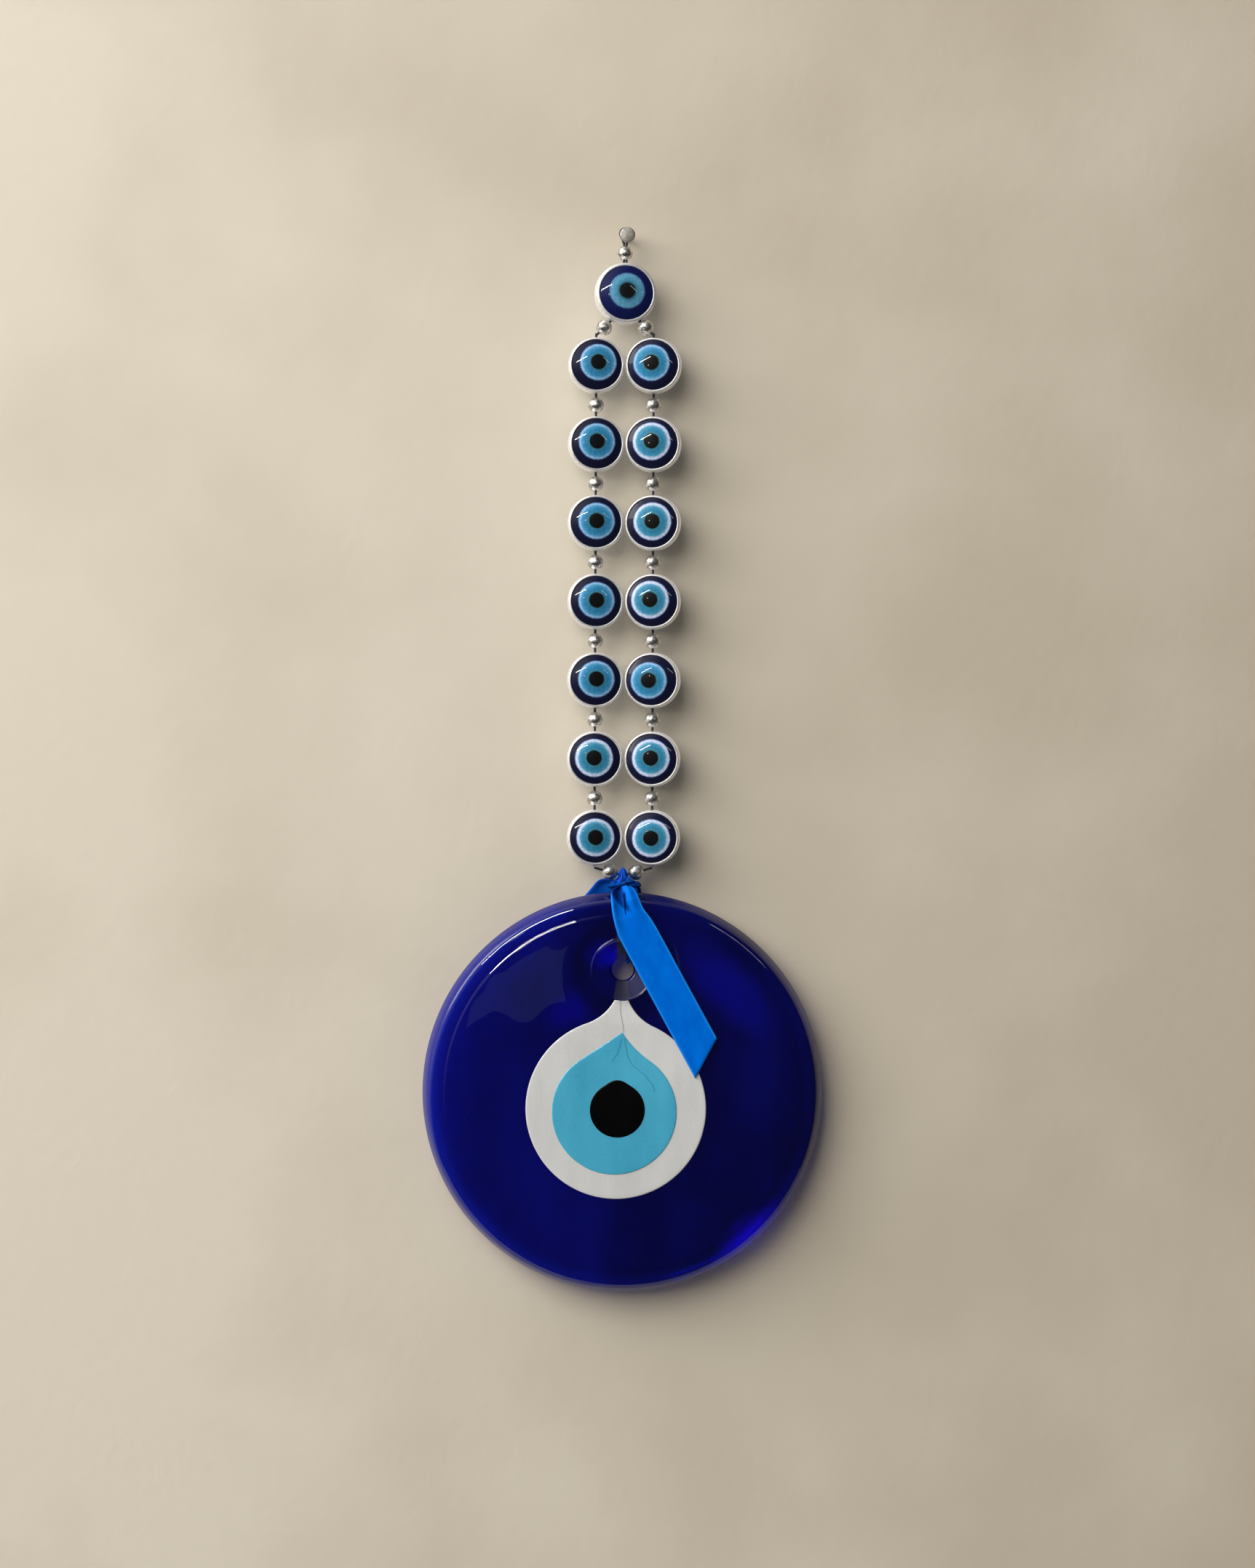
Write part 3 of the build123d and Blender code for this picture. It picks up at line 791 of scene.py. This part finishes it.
def disc_shape():
    """The disc as rings from the hole out over the front, round the rim and back over the rear."""
    dimple = [4.6, 5.3, 6.0, 6.8, 7.6, 8.4, 9.0, 9.3, 9.5, 9.65, 9.8, 9.95, 10.1, 10.25, 10.4, 10.6,
              10.9, 11.4, 12.2, 13.2, 14.4, 15.4, 16.1]
    rim = [56.2, 56.6, 56.8, 57.0, 57.2, 57.4, 57.6, 57.8, 58.0, 58.2, 58.5, 59.0, 59.6, 60.2, 60.6, 60.8,
           61.0, 61.2, 61.4, 61.6, 61.8, 62.1, 62.5, 62.9, 63.3, 63.7, 64.1, 64.4, 64.7, 64.9]
    points = []
    angles = round_angles(360)
    edge = [hole_outline(angle) for angle in angles]

    def ring(reaches, depth):
        """A ring by its distances from the hole's middle. Its depth is a number or one of the faces."""
        for angle, reach in zip(angles, reaches):
            flat = HOLE + Vector((math.cos(angle), math.sin(angle))) * reach
            points.append(Vector((flat.x, depth(flat, reach) if callable(depth) else depth, flat.y)))

    def between(inner, outer, share):
        """Distances part of the way from a circle round the hole to one round the disc."""
        return [inner + (ray_to_circle(angle, outer) - inner) * share for angle in angles]

    for depth in (4.2, 2.6, 1.0, -0.4, -1.0):
        ring(edge, depth)
    ring([e + 0.12 for e in edge], -1.35)
    for index, reach in enumerate(dimple):
        share = min(1.0, (index + 1) / 6)
        ring([(e + 0.3) * (1 - share) + reach * share for e in edge], front)
    for share in np.linspace(0, 1, 34)[1:-1]:
        ring(between(dimple[-1], rim[0], share), front)
    for radius in rim:
        ring(between(0, radius, 1), front)
    ring(between(0, DISC_RADIUS - 0.02, 1), 0.9)
    for radius in reversed(rim[12:]):
        ring(between(0, radius, 1), back)
    for share in np.linspace(1, 0, 16)[:-1]:
        ring(between(5.0, 59.0, share), back)
    ring([e + 0.5 for e in edge], back)
    ring([e + 0.08 for e in edge], 4.9)
    return points, ring_faces(len(points) // len(angles), len(angles), closed=True)


disc_place = placed((0, 0, DISC_Z))
piece("cobalt_disc", disc_shape(), cobalt_finish(), "disc", ["glass_disc"], disc_place)


# ---- Poured drops


def drop_outline(centre, radius, left_end, right_end, flares):
    """A round with two hollow arcs up to its ends, as points going round: the CAD's outline."""
    centre = Vector(centre)
    flanks, feet = [], []
    for end, side, flare in ((Vector(left_end), 1, flares[0]), (Vector(right_end), -1, flares[1])):
        reach = radius + flare
        lean = end - centre
        opening = math.acos((lean.length_squared + reach**2 - flare**2) / (2 * lean.length * reach))
        out = Matrix.Rotation(side * opening, 2) @ lean.normalized()
        foot, bend = centre + out * radius, centre + out * reach
        start = math.atan2(*(foot - bend).yx)
        span = (math.atan2(*(end - bend).yx) - start + math.pi) % (2 * math.pi) - math.pi
        flanks.append(flat_arc(bend, flare, start, start + span, 40))
        feet.append(math.atan2(*out.yx))
    span = (feet[1] - feet[0]) % (2 * math.pi)
    bottom = flat_arc(centre, radius, feet[0], feet[0] + span, 160)[1:-1]
    return flanks[0][::-1] + bottom + flanks[1]


def egg_outline(centre, radius, rise, top_radius):
    """A round drawn out upwards to a smaller one."""
    limit = math.acos((radius - top_radius) / rise)
    up = math.pi / 2
    body = flat_arc(centre, radius, up + limit, up - limit + 2 * math.pi, 120)
    return body + flat_arc((centre[0], centre[1] + rise), top_radius, up - limit, up + limit, 20)


def drop_shape(outline, height, base, roll):
    """A flat drop of glass over an outline: its face is height(x, z) forward, with a rolled edge."""
    loop = []
    for one, two in zip(outline, outline[1:] + outline[:1]):
        parts = max(1, round((two - one).length / 0.4))
        loop.extend(tuple(one.lerp(two, part / parts)) for part in range(parts))
    loop = np.array(loop)
    after = np.roll(loop, -1, axis=0)

    def inside(points):
        x, y = points[:, :1], points[:, 1:]
        ax, ay, bx, by = *loop.T, *after.T
        crossing = ((ay > y) != (by > y)) & (x < (bx - ax) * (y - ay) / (by - ay + 1e-12) + ax)
        return crossing.sum(axis=1) % 2 == 1

    def edge_distance(points):
        d = after - loop
        t = ((points[:, None, :] - loop) * d).sum(-1) / (d * d).sum(-1)
        near = loop + np.clip(t, 0, 1)[..., None] * d
        return np.sqrt(((points[:, None, :] - near) ** 2).sum(-1)).min(axis=1)

    tangent = after - np.roll(loop, 1, axis=0)
    inward = np.stack([-tangent[:, 1], tangent[:, 0]], axis=1)
    inward /= np.linalg.norm(inward, axis=1)[:, None]
    chosen = [loop]
    for share in (0.12, 0.3, 0.6, 1.0):
        ring = loop + inward * roll * share
        chosen.append(ring[(edge_distance(ring) > roll * share * 0.92) & inside(ring)])
    low, high = loop.min(axis=0), loop.max(axis=0)
    grid = np.mgrid[low[0]:high[0]:1.0, low[1]:high[1]:1.0].reshape(2, -1).T
    grid[:, 0] += 0.5 * (np.round(grid[:, 1] - low[1]) % 2)
    grid = grid[inside(grid)]
    chosen.append(grid[edge_distance(grid) > roll + 0.5])
    spots = [Vector(p) for p in np.concatenate(chosen)]
    edges = [(i, (i + 1) % len(loop)) for i in range(len(loop))]
    flat, _, triangles, *_ = geometry.delaunay_2d_cdt(spots, edges, [], 1, 1e-6)
    depth = np.clip(edge_distance(np.array([tuple(p) for p in flat])) / roll, 0, 1)
    rolled = roll * 0.8 * (1 - np.sqrt(np.clip(1 - (1 - depth) ** 2, 0, 1)))
    face = [Vector((p.x, lower - height(p.x, p.y), p.y)) for p, lower in zip(flat, rolled)]
    rear = [Vector((p.x, -base, p.y)) for p in flat]
    total = len(flat)
    faces, used = [], set()
    for triangle in triangles:
        a, b, c = (flat[i] for i in triangle)
        if (b - a).cross(c - a) < 0:
            triangle = triangle[::-1]
        faces.append(tuple(triangle))
        faces.append(tuple(total + i for i in reversed(triangle)))
        used.update(zip(triangle, triangle[1:] + triangle[:1]))
    faces += [(two, one, total + one, total + two) for one, two in sorted(used) if (two, one) not in used]
    return face + rear, faces


def white_height(x, z):
    """How far the white drop's face stands forward of the disc's middle."""
    return HALF_THICKNESS + 0.25 - crater((Vector((x, z)) - HOLE).length) - waves(x, z)


neck = LIP_RADIUS + 0.05
neck_left, neck_right = math.asin(-2.6 / neck), math.asin(1.9 / neck)
lip = flat_arc(HOLE, neck, neck_right - math.pi / 2, neck_left - math.pi / 2, 8)
white = drop_outline((-2.1, -4.9), 29.2, lip[-1], lip[0], (16, 16)) + lip[1:-1]
blue = drop_outline((-2.6, -6.0), 20.2, (-0.1, 19.9), (-0.1, 19.9), (400, 32))[:-1]
black = egg_outline((-1.6, -5.3), 8.95, 4.7, 5.0)
for slot, outline, finish, proud, roll, node in (
    ("white", white, white_glass, 0.0, 0.45, "white_drop"),
    ("light_blue", blue, blue_glass, 0.22, 0.35, "light_blue_drop"),
    ("black", black, black_glass, 0.40, 0.4, "pupil"),
):
    shape = drop_shape(outline, lambda x, z, proud=proud: white_height(x, z) + proud, 3.7, roll)
    piece(f"{slot}_pour", shape, finish, "disc", [node], disc_place)

# ---- Ribbon. Its places are from the middle of the disc: x, y and height


def fade(value, start, end):
    """1 before start, 0 after end, and smooth between them."""
    share = min(1.0, max(0.0, (value - start) / (end - start)))
    return 1 - share * share * (3 - 2 * share)


def woven(name, points, faces, spots):
    """A mesh with UVs in millimetres across and along the ribbon, one for each corner of each face."""
    mesh = mesh_data(name, points, faces)
    layer = mesh.uv_layers.new(name="weave")
    layer.data.foreach_set("uv", [value for spot in spots for value in spot])
    return mesh


def cloth(name, rows, lengths, thickness=0.22):
    """A thin cloth over rows of points, whose lengths along the ribbon are given."""
    count, width = len(rows), len(rows[0])
    grid = np.array([[tuple(p) for p in row] for row in rows])
    normal = np.cross(np.gradient(grid, axis=1), np.gradient(grid, axis=0))
    normal /= np.maximum(np.linalg.norm(normal, axis=2)[..., None], 1e-9)
    layers = [(grid + normal * half).reshape(-1, 3) for half in (thickness / 2, -thickness / 2)]
    faces, spots = [], []

    def quad(*places):
        faces.append(tuple((layer * count + j) * width + i for layer, j, i in places))
        spots.extend([(RIBBON_WIDTH * i / (width - 1), lengths[j]) for _, j, i in places])

    for j in range(count - 1):
        for i in range(width - 1):
            quad((0, j, i), (0, j, i + 1), (0, j + 1, i + 1), (0, j + 1, i))
            quad((1, j + 1, i), (1, j + 1, i + 1), (1, j, i + 1), (1, j, i))
        quad((0, j, 0), (0, j + 1, 0), (1, j + 1, 0), (1, j, 0))
        quad((0, j + 1, width - 1), (0, j, width - 1), (1, j, width - 1), (1, j + 1, width - 1))
    for i in range(width - 1):
        quad((0, 0, i + 1), (0, 0, i), (1, 0, i), (1, 0, i + 1))
        quad((0, count - 1, i), (0, count - 1, i + 1), (1, count - 1, i + 1), (1, count - 1, i))
    return woven(name, np.concatenate(layers), faces, spots)


def soft_edge(stops):
    """An edge through (x, height) stops with rounded corners: gives its place at a share of its length."""
    spots = np.array([tuple(p.xy) for p in smooth_path([(x, z, 0) for x, z in stops], 8)])
    lengths = np.append(0.0, np.cumsum(np.linalg.norm(np.diff(spots, axis=0), axis=1)))
    return lambda share: np.array([np.interp(share * lengths[-1], lengths, line) for line in spots.T])


def tail(left, right, depths, pleats, amplitude, length, side):
    """Rows of a ribbon tail between two edges. side is -1 in front of the disc and 1 behind it."""
    left, right = soft_edge(left), soft_edge(right)
    rows, lengths = [], []
    for share in np.linspace(0, 1, 91) ** 1.25:
        settle = amplitude * fade(share, 0.0, 0.34)
        row = []
        for u in np.linspace(0, 1, 41):
            fold = settle * sum(height * bump_at(u, centre, width) for centre, width, height in pleats)
            drift = 0.10 * noise.noise(Vector((u * 2.2, share * 5.0, 4.0 * side)))
            curl = 0.10 * (2 * u - 1) ** 2
            x, z = left(share) * (1 - u) + right(share) * u
            row.append(Vector((x, side * (through(depths, share) + fold + drift - curl), z)))
        rows.append(row)
        lengths.append(length * share)
    return rows, lengths


def ribbon(name, rows, finish, body, node, long, thickness=0.22):
    """A piece of ribbon, which is flat when it is laid out."""
    made = piece(name, cloth(name, *rows, thickness), finish, body, [node], disc_place)
    long * MM


front_rows = tail(
    [(-1.5, 67.0), (-3.2, 66.0), (-3.9, 64.4), (-3.4, 58.7), (-2.0, 52.7), (0.15, 47.9), (11.8, 26.4),
     (23.5, 5.0)],
    [(1.6, 67.2), (3.2, 66.5), (4.5, 64.7), (6.7, 59.8), (10.5, 54.4), (20.5, 36.2), (30.5, 18.0)],
    [(0.0, 3.0), (0.05, 5.0), (0.10, 6.3), (0.18, 6.9), (0.35, 6.9), (0.7, 6.6), (1.0, 6.5)],
    [(0.06, 0.09, 0.9), (0.34, 0.17, -1.0), (0.74, 0.14, 1.0)], 1.1, 66.0, -1,
)
back_rows = tail(
    [(-1.4, 66.0), (-0.8, 64.8), (-1.4, 61.0), (-4.5, 55.5), (-18.0, 39.4), (-31.5, 23.7)],
    [(-1.0, 68.6), (-4.2, 69.0), (-7.9, 68.7), (-11.9, 64.3), (-24.9, 49.4), (-37.9, 34.5)],
    [(0.0, 3.6), (0.04, 5.3), (0.09, 6.7), (0.15, 7.0), (1.0, 7.0)],
    [(0.2, 0.16, 0.5), (0.5, 0.14, -0.7), (0.82, 0.12, 0.5)], 0.9, 54.0, 1,
)
ribbon("ribbon_front_tail_cloth", front_rows, satin, "front_tail", "ribbon_front_tail", 62)
ribbon("ribbon_back_tail_cloth", back_rows, shaded_satin, "back_tail", "ribbon_back_tail", 52)


def strand(route, folds, steps):
    """Rows of a gathered strand along (x, y, height, half width, fold depth) stations."""
    path = smooth_path([station[:3] for station in route], steps)
    sizes = smooth_path([(*station[3:], 0) for station in route], steps)
    rows, lengths, run = [], [], 0.0
    for j, (point, size) in enumerate(zip(path, sizes)):
        run += (point - path[max(j - 1, 0)]).length
        ahead = (path[min(j + 1, len(path) - 1)] - path[max(j - 1, 0)]).normalized()
        out = ahead.cross(Vector((1, 0, 0))).normalized()
        row = []
        for u in np.linspace(0, 1, folds * 8 + 1):
            phase = 2 * math.pi * folds * u + 0.5 * math.sin(run * 0.35)
            crest = math.asin(0.96 * math.sin(phase)) / 1.29
            drift = 0.25 * noise.noise(Vector((u * 3.0, run * 0.12, 8.0)))
            row.append(point + Vector((size.x * (2 * u - 1), 0, 0)) + out * size.y * (crest + drift))
        rows.append(row)
        lengths.append(run)
    return rows, lengths


loop_rows = strand(
    [(1.6, -1.6, 66.6, 2.4, 0.3), (2.2, -4.6, 65.3, 2.6, 0.35), (2.4, -6.0, 62.2, 2.4, 0.25),
     (3.0, -6.2, 55.0, 1.8, 0.22), (3.0, -6.1, 48.0, 1.0, 0.24), (2.7, -5.3, 44.4, 0.6, 0.3),
     (1.6, -3.0, 42.3, 0.42, 0.28), (1.45, 2.0, 42.2, 0.42, 0.28), (1.45, 5.2, 42.4, 0.45, 0.28),
     (2.1, 6.5, 44.2, 0.8, 0.3), (3.1, 6.5, 51.0, 1.7, 0.4), (3.7, 6.5, 60.0, 2.2, 0.45),
     (3.6, 5.6, 64.8, 2.3, 0.45), (3.0, 3.6, 66.8, 2.2, 0.4), (2.2, 1.4, 67.4, 2.0, 0.3)],
    7, 7,
)
ribbon("ribbon_loop_cloth", loop_rows, shaded_gathered_satin, "ribbon", "ribbon_loop", loop_rows[1][-1],
       0.14)


def knot_point(angle, height, crown=0.0):
    """A point of the gathered knot, round its upright axis and up, with a crown of cloth on it."""
    across = through(((65.8, 2.6), (66.1, 3.9), (66.8, 4.3), (67.8, 4.2), (68.5, 3.7), (69.0, 2.9),
                      (69.5, 2.2), (70.0, 1.75), (70.6, 1.5), (71.4, 1.35), (72.8, 0.5)), height)
    deep = through(((65.8, 1.5), (66.2, 2.2), (67.0, 2.7), (68.3, 2.6), (69.0, 2.2), (69.6, 1.8),
                    (70.4, 1.45), (71.4, 1.2), (72.8, 0.4)), height)
    twist = angle * 7 + (height - 68) * 0.9
    ridge = 0.20 * math.sin(twist) + 0.11 * math.sin(twist * 1.7 + 1.1)
    ridge += 0.10 * noise.noise(Vector((math.cos(angle) * 1.3, math.sin(angle) * 1.3, height * 0.5)))
    swell = 1 + ridge * (0.25 + 0.75 * fade(height, 68.0, 69.3))
    lean = 0.5 * fade(height, 66.5, 69.0)
    return Vector((lean + (across * swell + crown) * math.cos(angle),
                   (deep * swell + crown) * math.sin(angle), height))


def knot_mesh():
    """The knot's core as a closed lump with UVs that run up the gathers."""
    heights, width = np.linspace(65.85, 72.8, 49), 96
    points = [knot_point(angle, height) for height in heights for angle in round_angles(width)]
    faces = ring_faces(len(heights), width, flip=True)
    spots = []
    for face in range(len(faces)):
        i, j = face % width, face // width
        spots.extend([(i / 4, j / 6), ((i + 1) / 4, j / 6), ((i + 1) / 4, (j + 1) / 6), (i / 4, (j + 1) / 6)])
    top = len(points) - width
    for i in range(width):
        after = (i + 1) % width
        faces += [(len(points), after, i), (len(points) + 1, top + i, top + after)]
        spots.extend([(i / 4, 0)] * 3 + [(i / 4, 8)] * 3)
    points += [Vector((0.5, 0, 65.75)), Vector((0, 0, 72.95))]
    return woven("ribbon_knot_core", points, faces, spots)


piece("ribbon_knot_core", knot_mesh(), shaded_gathered_satin, "ribbon", ["ribbon_knot"], disc_place)


def wrap_rows(start, end, low, high, width, lift):
    """A band laid round the knot from one angle to another, rising from one height to the other."""
    rows, lengths = [], []
    for share in np.linspace(0, 1, 61):
        angle = math.radians(start + (end - start) * share)
        half = width * (0.75 + 0.25 * math.cos(2 * math.pi * share))
        row = []
        for u in np.linspace(-1, 1, 17):
            crown = lift * (1 - 0.8 * abs(u) ** 2.5) + 0.10 * math.sin(5.0 * u + 4 * share)
            row.append(knot_point(angle, low + (high - low) * share + u * half, crown))
        rows.append(row)
        lengths.append(9.0 * share * abs(end - start) / 180)
    return rows, lengths


# Each wrap of the knot: start and end in degrees, heights, half width, lift, and which of the satins, 0 with
# painted shade and 1 with painted light
wrap_mesh = bpy.data.meshes.new("ribbon_knot_wraps")
wrap_mesh.materials.append(shaded_gathered_satin)
wrap_mesh.materials.append(painted_light_satin)
gather = bmesh.new()
for *lie, satin_index in (
    (-195, 30, 66.6, 67.6, 0.95, 0.45, 0),
    (-160, -28, 66.4, 69.3, 0.8, 0.75, 1),
    (20, 175, 67.5, 67.2, 1.1, 0.45, 0),
):
    wrap = cloth("wrap", *wrap_rows(*lie))
    wrap.polygons.foreach_set("material_index", [satin_index] * len(wrap.polygons))
    gather.from_mesh(wrap)
gather.to_mesh(wrap_mesh)
gather.free()
piece("ribbon_knot_wraps", wrap_mesh, None, "ribbon", (), disc_place)

# ---- Stage, light and camera

WALL_Y = 9.6


def wall_finish():
    """Beige painted plaster that shows only its front, so that the back of the object can be seen."""
    shader = Shader("plaster", Roughness=0.85, Specular_IOR_Level=0.2)
    # Random tone, with painted light: the plaster is painted lighter towards the left and darker towards the
    # right.
    tone = shader.noise(0.01, 3.0) + shader.split()[0].remap(-320.0, 320.0, 0.35, -0.35)
    shader.set(Base_Color=tone.ramp((0.2, (0.555, 0.485, 0.375)), (0.8, (0.725, 0.655, 0.535))))
    shader.bump(shader.noise(0.25, 4.0), 0.12)
    behind = shader.value("ShaderNodeNewGeometry", "Backfacing")
    shadow = shader.value("ShaderNodeLightPath", "Is Shadow Ray")
    both = shader.node("ShaderNodeMixShader")
    shown = (shader.math("MAXIMUM", behind, shadow), Value(shader, shader.base.outputs[0]),
             shader.value("ShaderNodeBsdfTransparent", 0))
    for socket, value in zip(both.inputs, shown):
        shader.fill(socket, value)
    shader.fill(shader.output.inputs["Surface"], Value(shader, both.outputs[0]))
    return shader.material


def stage(name, shape, finish):
    """A piece of scenery, which isn't part of the object."""
    made = link(name, mesh_data(name, *shape))
    made.data.materials.append(finish)


def sheet(centre, across, up):
    """A flat rectangle."""
    centre, across, up = Vector(centre), Vector(across) / 2, Vector(up) / 2
    points = [centre - across - up, centre + across - up, centre + across + up, centre - across + up]
    return points, [(0, 1, 2, 3)]


def area_light(name, place, target, size, power, colour=(1, 1, 1), roll=0.0, glint=False):
    """A rectangular light aimed at a point, in millimetres, and rolled by some degrees. A glint shows
    only in what it is mirrored in."""
    data = bpy.data.lights.new(name, "AREA")
    data.shape = "RECTANGLE"
    data.size, data.size_y = size[0] * MM, size[1] * MM
    data.energy = power
    data.color = colour
    made = link(name, data)
    made.location = Vector(place) * MM
    aim = Vector(target) - Vector(place)
    turned = aim.to_track_quat("-Z", "Y").to_matrix() @ Matrix.Rotation(math.radians(roll), 3, "Z")
    made.rotation_euler = turned.to_euler()
    made.visible_diffuse = not glint
    return made


stage("wall", sheet((0, WALL_Y, 0), (2800, 0, 0), (0, 0, 2000)), wall_finish())
floor = Shader("pale_floor", Roughness=0.6)
floor.set(Base_Color=floor.noise(0.02, 3.0).ramp((0.3, (0.60, 0.59, 0.57)), (0.7, (0.66, 0.65, 0.63))))
stage("floor", sheet((0, WALL_Y - 210, -1000), (2800, 0, 0), (0, 420, 0)), floor.material)

NAIL_HEAD = [(0, -4.7), (2.0, -4.65), (2.4, -4.5), (2.5, -4.2), (2.4, -3.8), (1.0, -3.4), (0, -3.4)]
NAIL_SHANK = [(0, -3.6), (0.9, -3.6), (0.9, WALL_Y), (0, WALL_Y)]
steel = Shader("nail_steel", Metallic=1.0)
steel.set(Base_Color=steel.noise(1.2, 4.0).ramp((0.3, (0.34, 0.32, 0.28)), (0.7, (0.56, 0.53, 0.47))),
          Roughness=steel.noise(3.0, 3.0).remap(0.3, 0.7, 0.5, 0.7))
nail = joined([moved(lathe(NAIL_HEAD, 48), (0.7, 0, -1.0)), lathe(NAIL_SHANK, 48)])
stage("nail", nail, steel.material)

scene = bpy.context.scene
scene.view_settings.view_transform = "Standard"
world = bpy.data.worlds.new("studio")
scene.world = world
world.use_nodes = True
sky = world.node_tree
toward = sky.nodes.new("ShaderNodeTexCoord")
facing = sky.nodes.new("ShaderNodeVectorMath")
facing.operation = "DOT_PRODUCT"
facing.inputs[1].default_value = Vector((-0.72, 0.0, 0.69)).normalized()
shade = sky.nodes.new("ShaderNodeMapRange")
shade.interpolation_type = "SMOOTHSTEP"
for socket, value in (("From Min", 0.30), ("From Max", 0.95), ("To Min", 0.05), ("To Max", 1.5)):
    shade.inputs[socket].default_value = value
sky.links.new(toward.outputs["Generated"], facing.inputs[0])
sky.links.new(facing.outputs["Value"], shade.inputs["Value"])
sky.links.new(shade.outputs["Result"], sky.nodes["Background"].inputs["Strength"])
sky.nodes["Background"].inputs["Color"].default_value = (0.97, 0.97, 1.0, 1)

MIDDLE = (0, 0, -180)
DAYLIGHT = (1.0, 0.985, 0.95)
TUBE_WHITE = (1.0, 0.99, 0.96)
area_light("soft_box", (-1700, -800, 1000), MIDDLE, (1500, 1500), 9.0, DAYLIGHT)
area_light("wall_wash", (-950, -420, 420), (-150, 0, 0), (600, 600), 4.5, DAYLIGHT)
key = area_light("key", (-700, -1500, 560), (-60, 0, -180), (1300, 1300), 20.5, DAYLIGHT)
key.visible_glossy = False
area_light("tube_left", (-393, -900, 253), MIDDLE, (440, 26), 3.2, TUBE_WHITE, 30.0, True)
area_light("tube_right", (480, -900, 240), MIDDLE, (300, 16), 0.25, TUBE_WHITE, -45.0, True)
area_light("lamp", (-290, -1000, 50), MIDDLE, (40, 40), 0.1, (1.0, 0.96, 0.88), 0.0, True)
area_light("haze", (-85, -1500, -332), (0, 0, -240), (90, 60), 0.004, (0.6, 0.72, 1.0), 0.0, True)
area_light("rear", (300, 1100, 300), MIDDLE, (700, 700), 6.0)

SHOT_DISTANCE = 1100.0
SHOT_HEIGHT = 509.5      # how much of the wall the picture takes in from top to bottom
SENSOR = 36.0
camera = link("camera", bpy.data.cameras.new("camera"))
camera.data.sensor_width = SENSOR
camera.data.lens = SENSOR * SHOT_DISTANCE / SHOT_HEIGHT
camera.location = Vector((1.32, -SHOT_DISTANCE, -178.8)) * MM
camera.rotation_euler = (math.radians(90), math.radians(-0.2), 0)
scene.camera = camera

bpy.context.view_layer.update()
